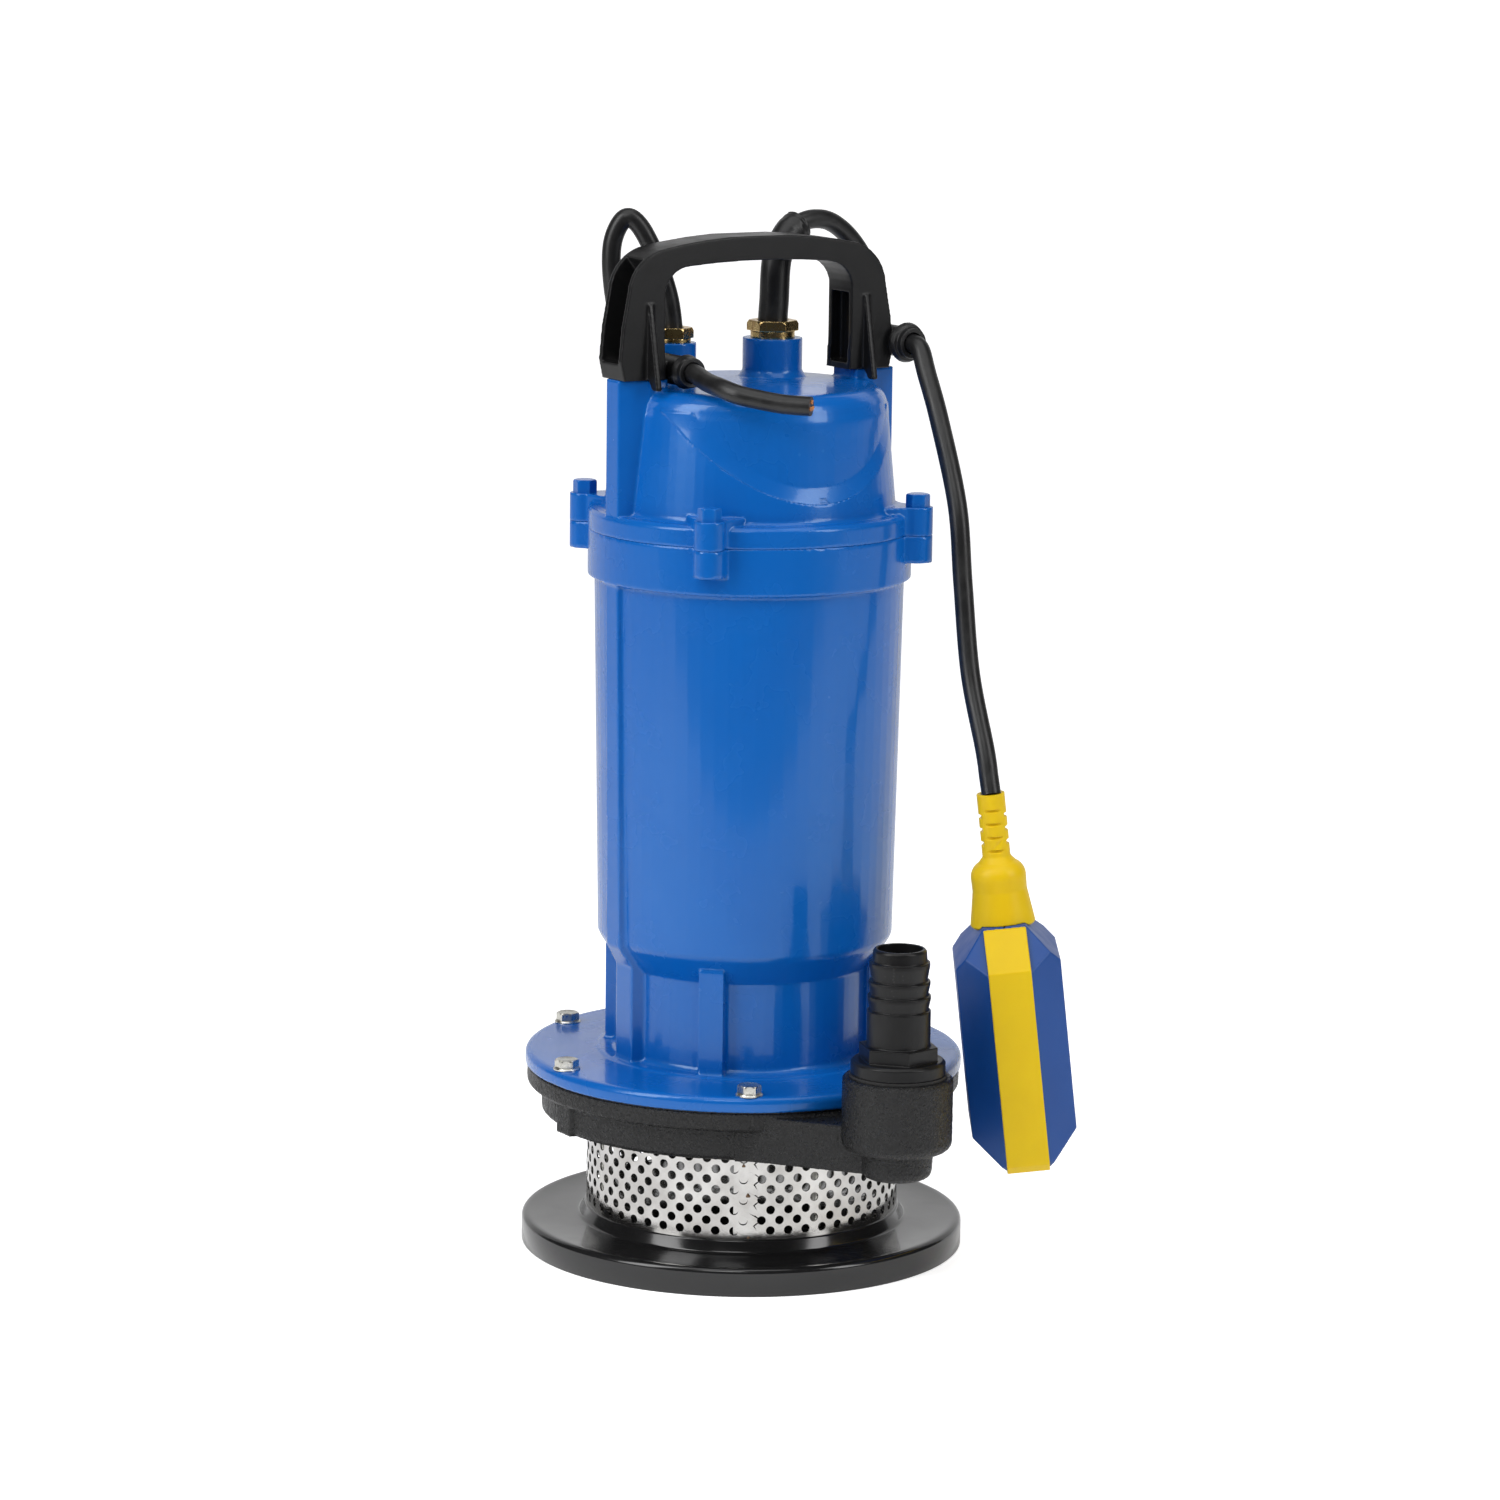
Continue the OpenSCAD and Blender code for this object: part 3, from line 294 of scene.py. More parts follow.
def zinc_plate():
    """Zinc-plated fastener with a slightly yellow, mottled passivation."""
    s = Shader("zinc_plate")
    yellowed, bright, grime_and_painted_shade = (0.58, 0.57, 0.52), (0.78, 0.77, 0.72), (0.2, 0.17, 0.12)
    tone = s.blend_colors(s.noise(1.6, 4), yellowed, bright)
    # Darker, browner tone in the hollows: settled grime with painted shade.
    tone = s.blend_colors(s.multiply(s.hollows(), 0.5), tone, grime_and_painted_shade)
    return s.finish(
        Base_Color=tone, Metallic=1.0, Roughness=s.ramp(s.noise(1.2, 3), 0.3, 0.7, 0.22, 0.42),
        Normal=s.bump(s.noise(0.4, 3), 0.02, 0.5))


def bright_steel():
    """Ground steel of the shaft and bearings, with fine rings of grinding."""
    s = Shader("bright_steel")
    dark, light = (0.6, 0.6, 0.61), (0.72, 0.72, 0.73)
    tone = s.blend_colors(s.noise(4, 3), dark, light)
    grinding = s.bump(s.noise(0.3, 3, 0.5, (1, 1, 8)), 0.008)
    return s.finish(Base_Color=tone, Metallic=1.0, Roughness=0.2, Normal=grinding)


def turned_brass():
    """Machined brass with fine turning lines and a brown tarnish."""
    s = Shader("turned_brass")
    clean, tarnished, worn = (0.78, 0.58, 0.26), (0.42, 0.25, 0.09), (0.92, 0.78, 0.46)
    tarnish = s.ramp(s.noise(2.6, 5, 0.65), 0.42, 0.66)
    tone = s.blend_colors(tarnish, clean, tarnished)
    tone = s.blend_colors(s.multiply(s.edges(), 0.5), tone, worn)
    lines = s.noise(0.5, 2, 0.5, (0.2, 0.2, 3))
    return s.finish(
        Base_Color=tone, Metallic=1.0, Roughness=s.ramp(tarnish, 0, 1, 0.16, 0.34),
        Normal=s.bump(s.add(lines, s.multiply(s.noise(1.2, 3), 0.6)), 0.03, 0.6))


def moulded_black():
    """Satin black nylon with a fine moulded grain and scuffed edges."""
    s = Shader("moulded_black")
    dark, light, scuffed = (0.0045, 0.0045, 0.005), (0.008, 0.008, 0.0085), (0.04, 0.04, 0.041)
    tone = s.blend_colors(s.noise(18, 4), dark, light)
    tone = s.blend_colors(s.multiply(s.edges(0.53, 0.64), 0.35), tone, scuffed)
    grain = s.bump(s.noise(0.45, 3), 0.03, 0.6)
    return s.finish(
        Base_Color=tone, Roughness=s.ramp(s.noise(10, 4), 0.3, 0.7, 0.3, 0.42),
        Normal=s.bump(s.noise(7, 2), 0.05, 0.4, grain), Specular_IOR_Level=0.34)


def cable_rubber():
    """Rubber sheath: satin, with dusty patches."""
    s = Shader("cable_rubber")
    clean, dusty = (0.008, 0.008, 0.0085), (0.032, 0.032, 0.032)
    bloom = s.ramp(s.noise(13, 5, 0.65), 0.45, 0.8)
    tone = s.blend_colors(s.multiply(bloom, 0.6), clean, dusty)
    return s.finish(
        Base_Color=tone, Roughness=s.ramp(bloom, 0, 1, 0.36, 0.5),
        Normal=s.bump(s.noise(1.6, 4), 0.05, 0.5), Specular_IOR_Level=0.5)


def seal_rubber():
    """Dull black rubber of the seals and gaskets."""
    s = Shader("seal_rubber")
    dark, light = (0.012, 0.012, 0.012), (0.03, 0.03, 0.03)
    tone = s.blend_colors(s.noise(3, 4), dark, light)
    return s.finish(Base_Color=tone, Roughness=0.6, Normal=s.bump(s.noise(0.6, 3), 0.03, 0.5))


def yellow_vinyl():
    """Soft yellow vinyl with slight flow marks, darker in its hollows."""
    s = Shader("yellow_vinyl")
    deep, bright = (0.72, 0.47, 0.001), (0.80, 0.55, 0.002)
    shaded, grubby = (0.45, 0.27, 0.0), (0.45, 0.34, 0.05)
    flow = s.noise(22, 4, 0.6)
    tone = s.blend_colors(flow, deep, bright)
    tone = s.blend_colors(s.multiply(s.hollows(0.4, 0.48), 0.45), tone, shaded)
    tone = s.blend_colors(s.multiply(s.ramp(s.noise(5, 6, 0.7), 0.6, 0.8), 0.12), tone, grubby)
    return s.finish(
        Base_Color=tone, Roughness=s.ramp(flow, 0.3, 0.7, 0.36, 0.46),
        Normal=s.bump(s.noise(2.2, 3), 0.05, 0.5), Specular_IOR_Level=0.3,
        Subsurface_Weight=0.12, Subsurface_Radius=(0.004, 0.002, 0.0005), Subsurface_Scale=1.0)


def blue_float_plastic():
    """Satin polypropylene with faint moulding drag marks."""
    s = Shader("blue_float_plastic")
    deep, bright, scuffed = (0.003, 0.052, 0.245), (0.005, 0.068, 0.30), (0.03, 0.14, 0.46)
    tone = s.blend_colors(s.noise(35, 4), deep, bright)
    tone = s.blend_colors(s.multiply(s.edges(0.53, 0.62), 0.4), tone, scuffed)
    drag = s.noise(2.4, 4, 0.6, (1, 1, 0.2))
    return s.finish(
        Base_Color=tone, Roughness=s.ramp(s.noise(12, 4), 0.3, 0.7, 0.34, 0.46),
        Normal=s.bump(drag, 0.03, 0.5))


def enamelled_copper():
    """Copper strands and windings."""
    s = Shader("enamelled_copper")
    dark, light = (0.55, 0.2, 0.06), (0.85, 0.42, 0.2)
    strands = s.noise(0.8, 3, 0.5, (1, 1, 0.1))
    tone = s.blend_colors(strands, dark, light)
    return s.finish(Base_Color=tone, Metallic=0.9, Roughness=0.3, Normal=s.bump(strands, 0.2, 0.8))


def laminated_steel():
    """Stacked sheets of the motor's cores."""
    s = Shader("laminated_steel")
    dark, light = (0.16, 0.16, 0.18), (0.36, 0.36, 0.38)
    layers = s.noise(0.5, 1, 0.3, (0.02, 0.02, 1))
    tone = s.blend_colors(layers, dark, light)
    return s.finish(Base_Color=tone, Metallic=0.9, Roughness=0.38, Normal=s.bump(layers, 0.1, 0.8))


def cast_aluminium():
    """Bare cast aluminium of the rotor's cage."""
    s = Shader("cast_aluminium")
    dark, light = (0.5, 0.5, 0.52), (0.64, 0.64, 0.66)
    tone = s.blend_colors(s.noise(2.5, 5), dark, light)
    skin_marks = s.bump(s.noise(0.7, 4), 0.06, 0.6)
    return s.finish(Base_Color=tone, Metallic=0.95, Roughness=0.42, Normal=skin_marks)


def white_moulding():
    """Off-white ceramic or plastic."""
    s = Shader("white_moulding")
    dark, light = (0.7, 0.69, 0.66), (0.8, 0.8, 0.78)
    tone = s.blend_colors(s.noise(8, 4), dark, light)
    return s.finish(Base_Color=tone, Roughness=0.35, Normal=s.bump(s.noise(1, 3), 0.02, 0.5))


MATERIALS = {
    "blue_paint": blue_enamel(),
    "black_enamel": black_enamel(),
    "black_casting": sand_casting(),
    "cast_plate": machined_iron(),
    "stainless_sheet": polished_sheet(),
    "zinc_fasteners": zinc_plate(),
    "bearing_steel": bright_steel(),
    "shaft_steel": bright_steel(),
    "impeller_brass": turned_brass(),
    "gland_brass": turned_brass(),
    "black_plastic": moulded_black(),
    "cable_rubber": cable_rubber(),
    "seal_rubber": seal_rubber(),
    "seal_ceramic": white_moulding(),
    "laminations": laminated_steel(),
    "cast_aluminium": cast_aluminium(),
    "copper_wire": enamelled_copper(),
    "capacitor_can": white_moulding(),
    "float_yellow": yellow_vinyl(),
    "float_blue": blue_float_plastic(),
    "switch_plastic": moulded_black(),
}
SLOT_OF = {entry["node"]: entry["material_slot"] for entry in frame["record"]["subparts"]}


# ---------------------------------------------------------------- mesh helpers

def add_piece(name, mesh, slot, body, replaced=()):
    """Puts a finished mesh in the scene as a piece of the object."""
    piece = bpy.data.objects.new(name, mesh)
    bpy.context.scene.collection.objects.link(piece)
    mesh.materials.clear()
    mesh.materials.append(MATERIALS[slot])
    if body is not None:
        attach(piece, body)
    if replaced:
        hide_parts(*replaced)
    return piece


def settle(piece):
    """Applies a piece's modifiers to its mesh."""
    graph = bpy.context.evaluated_depsgraph_get()
    mesh = bpy.data.meshes.new_from_object(piece.evaluated_get(graph))
    material = piece.data.materials[0]
    piece.modifiers.clear()
    piece.data = mesh
    mesh.materials.clear()
    mesh.materials.append(material)


def mesh_from(name, points, faces, smooth=True):
    mesh = bpy.data.meshes.new(name)
    mesh.from_pydata([Vector(p) * MM for p in points], [], faces)
    mesh.validate()
    for polygon in mesh.polygons:
        polygon.use_smooth = smooth
    mesh.update()
    return mesh


def append(points, faces, part):
    """Adds a part's points and faces to lists that already hold others."""
    more_points, more_faces = part
    faces += [tuple(v + len(points) for v in face) for face in more_faces]
    points += more_points


def face_outwards(mesh):
    work = bmesh.new()
    work.from_mesh(mesh)
    bmesh.ops.recalc_face_normals(work, faces=work.faces)
    work.to_mesh(mesh)
    work.free()


def split_sharp(piece, degrees):
    """Smooth shading with crisp edges where faces meet at more than an angle."""
    limit = math.radians(degrees)
    work = bmesh.new()
    work.from_mesh(piece.data)
    for edge in work.edges:
        if len(edge.link_faces) == 2:
            edge.smooth = edge.calc_face_angle(0) < limit
    work.to_mesh(piece.data)
    work.free()
    for polygon in piece.data.polygons:
        polygon.use_smooth = True


def skin(node, voxel, rounds, grain=None):
    """Rounds a CAD node's edges as casting, moulding or paint does: fine remesh, then smoothing."""
    mesh = nodes[node].data.copy()
    work = bmesh.new()
    work.from_mesh(mesh)
    bmesh.ops.remove_doubles(work, verts=work.verts, dist=1e-6)
    work.to_mesh(mesh)
    work.free()
    piece = add_piece(node + "_skin", mesh, SLOT_OF[node], None)
    remesh = piece.modifiers.new("remesh", "REMESH")
    remesh.mode = "VOXEL"
    remesh.voxel_size = voxel * MM
    remesh.use_smooth_shade = True
    relax = piece.modifiers.new("relax", "SMOOTH")
    relax.factor = 0.5
    relax.iterations = rounds
    settle(piece)
    if grain is not None:
        roughen(piece.data, *grain)
    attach(piece, node_body[node])
    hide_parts(node)
    return piece


def roughen(mesh, size, depth, octaves=3):
    """Moves every vertex along its normal by noise, as the grain of a sand casting."""
    fineness, step_up = 0.8, 2.1
    places = np.empty(len(mesh.vertices) * 3, np.float32)
    normals = np.empty_like(places)
    mesh.vertices.foreach_get("co", places)
    mesh.vertices.foreach_get("normal", normals)
    spots = places.reshape(-1, 3)
    heights = [noise.fractal(spot, fineness, step_up, octaves) for spot in spots / (size * MM)]
    spots += normals.reshape(-1, 3) * np.array(heights, np.float32)[:, None] * depth * MM
    mesh.vertices.foreach_set("co", places)
    mesh.update()


def catmull(points, steps):
    """Smooth curve through control points."""
    points = [Vector(p) for p in points]
    last = len(points) - 1
    out = []
    for i in range(last):
        a, b = points[max(i - 1, 0)], points[i]
        c, d = points[i + 1], points[min(i + 2, last)]
        for step in range(steps):
            t = step / steps
            out.append(0.5 * (2 * b + (c - a) * t + (2 * a - 5 * b + 4 * c - d) * t * t
                              + (3 * b - a - 3 * c + d) * t ** 3))
    out.append(points[last])
    return out


def sweep(path, radius, sides=32):
    """Round tube along a path; radius is a number or a function of (share of length, angle)."""
    turn = None
    points, faces = [], []
    count = len(path)
    for i, centre in enumerate(path):
        ahead = (path[min(i + 1, count - 1)] - path[max(i - 1, 0)]).normalized()
        if turn is None:
            turn = ahead.orthogonal().normalized()
        turn = (turn - ahead * turn.dot(ahead)).normalized()
        side = ahead.cross(turn)
        for k in range(sides):
            angle = 2 * math.pi * k / sides
            r = radius(i / (count - 1), angle) if callable(radius) else radius
            points.append(centre + (turn * math.cos(angle) + side * math.sin(angle)) * r)
    for i in range(count - 1):
        for k in range(sides):
            near, far = i * sides + k, i * sides + (k + 1) % sides
            faces.append((near, far, far + sides, near + sides))
    faces.append(tuple(reversed(range(sides))))
    faces.append(tuple(range((count - 1) * sides, count * sides)))
    return points, faces


def arc_points(centre, radius, start, stop, count):
    """Points on an arc from one angle in degrees to another."""
    angles = [math.radians(start + (stop - start) * i / count) for i in range(count + 1)]
    return [(centre[0] + radius * math.cos(a), centre[1] + radius * math.sin(a)) for a in angles]


def ring_places(count, radius, start=0.0):
    """Centres spread evenly round a circle about the pump's axis."""
    angles = [math.radians(start + i * 360 / count) for i in range(count)]
    return [(radius * math.cos(a), radius * math.sin(a)) for a in angles]


def lathe(profile, sides=192, centre=(0, 0)):
    """Solid turned about a vertical axis from a closed (r, z) profile; points at r = 0 are on the axis."""
    points, faces, rings = [], [], []
    for r, z in profile:
        if r <= 0:
            rings.append([len(points)])
            points.append((centre[0], centre[1], z))
            continue
        rings.append(list(range(len(points), len(points) + sides)))
        for k in range(sides):
            angle = 2 * math.pi * k / sides
            points.append((centre[0] + r * math.cos(angle), centre[1] + r * math.sin(angle), z))
    for a, b in zip(rings, rings[1:] + rings[:1]):
        for k in range(sides):
            n = (k + 1) % sides
            if len(a) == 1 and len(b) == 1:
                break
            if len(a) == 1:
                faces.append((a[0], b[n], b[k]))
            elif len(b) == 1:
                faces.append((a[k], a[n], b[0]))
            else:
                faces.append((a[k], a[n], b[n], b[k]))
    return points, faces


@functools.cache
def cad(node):
    """Box of a CAD node in millimetres."""
    low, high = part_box(node)
    return low / MM, high / MM


# ---------------------------------------------------------------- foot

def base_plate():
    """Pressed plate: straight rim, shallow dished annulus, a soft step and the strainer's raised seat."""
    high = cad("base_plate")[1]
    rim, seat = high.x, cad("strainer")[0].z
    sheet, flat, edge_r, dish = 2.0, 13.5, 2.6, 0.35
    step_r, seat_r = 1.8, 1.2
    foot, lip = 76.4, cad("strainer")[1].x - 1.4
    top = (
        [(rim - 0.5, 0), (rim, 0.5)]
        + arc_points((rim - edge_r, flat - edge_r), edge_r, 0, 90, 8)
        + [(rim - 4.2, flat), (rim - 5.6, flat - dish), (foot + 6, flat - dish)]
        + arc_points((foot + 3.4, flat + 1.4), step_r, 270, 195, 6)
        + arc_points((foot - 1.4, seat - seat_r), seat_r, 5, 90, 5)
        + [(lip, seat), (lip - 0.6, high.z), (0, high.z)])
    under = (
        [(0, high.z - sheet), (lip - 2, high.z - sheet), (foot - 3, seat - sheet)]
        + [(foot + 0.4, flat - sheet), (rim - edge_r, flat - sheet)]
        + [(rim - sheet, flat - edge_r - 1), (rim - sheet, 0)])
    mesh = mesh_from("base_plate", *lathe(top + under, 256))
    face_outwards(mesh)
    add_piece("base_plate_pressing", mesh, "black_enamel", "pump", ["base_plate"])


def sheet_radius(column):
    """Radius of the rolled sheet: it starts under its own outer end and climbs over it."""
    outer, drop = cad("strainer")[1].x + 0.2, 0.8
    climb = min(max((column % COLUMNS) / LAP_COLUMNS, 0), 1)
    return outer - drop * (1 - climb * climb * (3 - 2 * climb))


def sheet_point(column, z, inwards=0.0):
    angle = SEAM_ANGLE + 2 * math.pi * column / COLUMNS
    r = sheet_radius(column) - inwards
    return (r * math.cos(angle), r * math.sin(angle), z)


def cell_outline(left, foot):
    """Border of a cell one column wide and one row high, as (column, z) points."""
    shares = [k / HOLE_STEPS for k in range(HOLE_STEPS)]
    out = [(left + share, foot) for share in shares]
    out += [(left + 1, foot + ROW_PITCH * share) for share in shares]
    out += [(left + 1 - share, foot + ROW_PITCH) for share in shares]
    out += [(left, foot + ROW_PITCH * (1 - share)) for share in shares]
    return out


def perforated_sheet():
    """Sheet made of cells, each with a round hole, in staggered rows; the cell on the seam has none."""
    low, high = cad("strainer")
    pitch = 2 * math.pi * high.x / COLUMNS
    points, faces, index = [], [], {}

    def vertex(column, z):
        key = (round(column % COLUMNS, 4) % COLUMNS, round(z, 4))
        if key not in index:
            index[key] = len(points)
            points.append(sheet_point(column % COLUMNS, z))
        return index[key]

    def hole_vertex(middle, middle_z, column, z):
        across, up = (column - middle) * pitch, z - middle_z
        grow = HOLE_R / math.hypot(across, up)
        return vertex(middle + across * grow / pitch, middle_z + up * grow)

    for row in range(ROWS):
        middle_z = low.z + FIRST_ROW + row * ROW_PITCH
        shift = HOLE_PHASE if row % 2 else HOLE_PHASE + 0.5
        for column in range(COLUMNS):
            middle = column + shift
            border = cell_outline(middle - 0.5, middle_z - ROW_PITCH / 2)
            ring = [vertex(*spot) for spot in border]
            if not row % 2 and column == COLUMNS - 1:
                faces.append(tuple(ring))
                continue
            hole = [hole_vertex(middle, middle_z, *spot) for spot in border]
            for k in range(len(ring)):
                n = (k + 1) % len(ring)
                faces.append((ring[k], ring[n], hole[n], hole[k]))
    first = low.z + FIRST_ROW - ROW_PITCH / 2
    last = low.z + FIRST_ROW + (ROWS - 0.5) * ROW_PITCH
    for z0, z1 in ((low.z, first), (last, high.z)):
        for k in range(COLUMNS * HOLE_STEPS):
            left, right = HOLE_PHASE + k / HOLE_STEPS, HOLE_PHASE + (k + 1) / HOLE_STEPS
            corners = ((left, z0), (right, z0), (right, z1), (left, z1))
            faces.append(tuple(vertex(*spot) for spot in corners))
    return points, faces


def backing_strip():
    """Inner end of the sheet, seen through the blind holes beside the seam."""
    low, high = cad("strainer")
    points, faces = [], []
    count, gap, end_gap = 16, 0.4, 0.2
    for k in range(count + 1):
        column = COLUMNS + BACKING * (1 - k / count) - 0.04
        for inwards in (SHEET_T + gap, 2 * SHEET_T + gap):
            points.append(sheet_point(column, low.z + end_gap, inwards))
            points.append(sheet_point(column, high.z - end_gap, inwards))
    for k in range(count):
        a, b = 4 * k, 4 * k + 4
        faces += [(a, b, b + 1, a + 1), (a + 3, b + 3, b + 2, a + 2)]
        faces += [(a + 1, b + 1, b + 3, a + 3), (a + 2, b + 2, b, a)]
    end = 4 * count
    faces += [(0, 1, 3, 2), (end + 2, end + 3, end + 1, end)]
    return points, faces


def strainer():
    mesh = mesh_from("strainer", *perforated_sheet())
    piece = add_piece("strainer_sheet", mesh, "stainless_sheet", None)
    wall = piece.modifiers.new("wall", "SOLIDIFY")
    wall.thickness = SHEET_T * MM
    wall.offset = -1
    settle(piece)
    split_sharp(piece, 35)
    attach(piece, "pump")
    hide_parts("strainer")
    lap = mesh_from("strainer_lap", *backing_strip(), smooth=False)
    add_piece("strainer_lap", lap, "stainless_sheet", "pump")


def seam_welds():
    """Scorched spot welds down the lapped seam."""
    low = cad("strainer")[0]
    scorch = weld_scorch()
    spots = ((BLIND, 36, 0.8), (BLIND + 0.25, 21.5, 1.0), (BLIND + 0.3, 1.2, 0.6))
    for i, (column, height, size) in enumerate(spots):
        spot = Vector(sheet_point(COLUMNS + column, low.z + height))
        outward = Vector((spot.x, spot.y, 0)).normalized()
        path = [spot - outward * 0.4, spot, spot + outward * 0.15]
        blob = sweep(path, lambda share, angle, r=size: r * (1 + 0.2 * math.sin(3 * angle + 2)), 20)
        weld = add_piece(f"seam_weld_{i + 1}", mesh_from("weld", *blob), "zinc_fasteners", "pump")
        weld.data.materials[0] = scorch


# ---------------------------------------------------------------- fasteners

def hex_head(centre, z0, height, dish, turn):
    """Hexagon head with its corners chamfered on top, and a dished crown."""
    corner = BOLT_FLATS / math.sqrt(3)
    sides = 48
    angles = [2 * math.pi * k / sides for k in range(sides)]

    def hexagon(angle):
        sector = (angle - turn) % (math.pi / 3) - math.pi / 6
        return BOLT_FLATS / 2 / math.cos(sector)

    top = z0 + height
    # Height of each ring, and the radius that turning limits it to
    levels = [(z0, corner), (top - 1.1, corner), (top - 0.55, corner * 0.965), (top - 0.2, corner * 0.9),
              (top, BOLT_FLATS * 0.44)]
    points, faces = [], []
    for z, limit in levels:
        for angle in angles:
            r = min(hexagon(angle), limit)
            points.append((centre[0] + r * math.cos(angle), centre[1] + r * math.sin(angle), z))
    crown_r = BOLT_FLATS * 0.3
    for angle in angles:
        x, y = centre[0] + crown_r * math.cos(angle), centre[1] + crown_r * math.sin(angle)
        points.append((x, y, top - dish))
    for low in range(0, len(levels) * sides, sides):
        for k in range(sides):
            n = (k + 1) % sides
            faces.append((low + k, low + n, low + sides + n, low + sides + k))
    faces.append(tuple(reversed(range(sides))))
    faces.append(tuple(range(len(levels) * sides, len(points))))
    return points, faces


def bolt_set(name, node, places, z0, height, flange_r, slot, dish, depth):
    """Hexagon bolts, with a washer face if flange_r isn't 0, joined as one piece."""
    face_t = 1.0 if flange_r else 0.0
    points, faces = [], []
    for i, place in enumerate(places):
        if flange_r:
            profile = [
                (0, z0), (flange_r, z0), (flange_r, z0 + 0.5), (flange_r - 0.5, z0 + 1.1), (0, z0 + 1.3)]
            append(points, faces, lathe(profile, 40, place))
        append(points, faces, hex_head(place, z0 + face_t, height, dish, turn=0.35 + 1.1 * i))
        shank = [(0, z0 - depth), (SHANK_R, z0 - depth), (SHANK_R, z0 + 0.3), (0, z0 + 0.3)]
        append(points, faces, lathe(shank, 24, place))
    piece = add_piece(name, mesh_from(name, points, faces), slot, "pump", [node])
    face_outwards(piece.data)
    split_sharp(piece, 28)


# ---------------------------------------------------------------- cables

def joint_mm(name):
    return Vector(joints[name]["pos_m"]) / MM


def tether_path():
    """Centre line of the hanging cable: from inside the grommet down to the top of the boot."""
    top, foot = joint_mm("tether_swing"), joint_mm("float_tilt")
    low, high = cad("float_grommet")
    mouth = Vector((low.x + high.x, 2 * high.y, low.z + high.z)) / 2
    out = Vector((foot.x - top.x, foot.y - top.y, 0))
    reach = out.length
    out.normalize()
    drop = top.z - foot.z
    # Shares of the way out and down from the grommet to the float, as the cable hangs
    shape = [(0.105, 0.052), (0.277, 0.157), (0.531, 0.356), (0.623, 0.545), (0.738, 0.759), (0.94, 0.932)]
    hanging = [top + out * (s * reach) - Vector((0, 0, z * drop)) for s, z in shape]
    in_boot = foot + (foot - hanging[-1]).normalized() * 8
    leaving = [mouth + Vector((0, 2, 0)), mouth - Vector((0, 5, 0)), top - Vector((0, 1, -0.6))]
    return [*leaving, *hanging, foot, in_boot]


def cable_piece(name, points, radius, node):
    """Cable fixed to the pump, swept along a smooth curve."""
    mesh = mesh_from(name, *sweep(catmull(points, 14), radius))
    split_sharp(add_piece(name, mesh, "cable_rubber", "pump", [node]), 50)


def taped_end(radius, start, depth):
    """Radius of a cable whose last stretch is wrapped in rough tape."""
    def at(share, angle):
        taped = min(max((share - start) * 12, 0), 1)
        spot = Vector((share * 60, math.cos(angle) * 2, math.sin(angle) * 2))
        return radius + taped * depth * (0.6 + noise.noise(spot))
    return at


def hanging_cable():
    """One swept cable cut into two pieces that share a ring."""
    centre = catmull(tether_path(), 16)
    sides = 32
    cut = len(centre) // 2
    shift = cut * sides
    points, faces = sweep(centre, FLOAT_CABLE_R, sides)
    walls, (first_cap, last_cap) = faces[:-2], faces[-2:]
    upper_faces = walls[:shift] + [first_cap, tuple(range(shift, shift + sides))]
    lower_faces = [tuple(v - shift for v in face) for face in walls[shift:] + [last_cap]]
    lower_faces.append(tuple(reversed(range(sides))))
    upper_mesh = mesh_from("tether_upper", points[:shift + sides], upper_faces)
    lower_mesh = mesh_from("tether_lower", points[shift:], lower_faces)
    upper = add_piece("tether_upper", upper_mesh, "cable_rubber", None, ["float_tether"])
    lower = add_piece("tether_lower", lower_mesh, "cable_rubber", None)
    split_sharp(upper, 50)
    split_sharp(lower, 50)
    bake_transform(upper)
    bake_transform(lower)


def cable_cores(path):
    """Bare stranded conductors, cut a little past the end of the sheath."""
    end, before = Vector(path[-1]), Vector(path[-2])
    ahead = (end - before).normalized()
    side = ahead.cross(Vector((0, 0, 1))).normalized()
    up = side.cross(ahead)
    points, faces = [], []
    for core in range(3):
        turn = math.radians(90 + 120 * core)
        centre = end + (side * math.cos(turn) + up * math.sin(turn)) * CORE_R
        for strand in range(7):
            angle, reach = math.radians(60 * strand), 0.0 if strand == 6 else STRAND_PITCH
            foot = centre + (side * math.cos(angle) + up * math.sin(angle)) * reach
            bare = 0.5 + 0.12 * ((strand * 3 + core) % 4)
            append(points, faces, sweep([foot - ahead * 2, foot, foot + ahead * bare], STRAND_R, 10))
    mesh = mesh_from("strands", points, faces)
    add_piece("power_cable_strands", mesh, "copper_wire", "pump", ["power_cores"])


# ---------------------------------------------------------------- cover

def slope_ledge(piece):
    """Turns the square step round the cover's front recess into a sloping ledge."""
    low_z, high_z = 356, 408
    inner_r = 63.5
    floor_r, wall_r = (65.4, 64.5), (68.9, 64.5)
    for vertex in piece.data.vertices:
        x, y, z = vertex.co / MM
        r = math.hypot(x, y)
        inside = RECESS_R - math.hypot(x - RECESS_AT[0], z - RECESS_AT[1])
        if y > 0 or r < inner_r or not low_z < z < high_z or not 0 < inside < LEDGE:
            continue
        up = (z - low_z) / (high_z - low_z)
        floor_here = floor_r[0] + (floor_r[1] - floor_r[0]) * up
        wall_here = wall_r[0] + (wall_r[1] - wall_r[0]) * up
        target = wall_here + (floor_here - wall_here) * inside / LEDGE
        if target > r:
            vertex.co.xy *= target / r


# ---------------------------------------------------------------- build

base_plate()
strainer()
seam_welds()

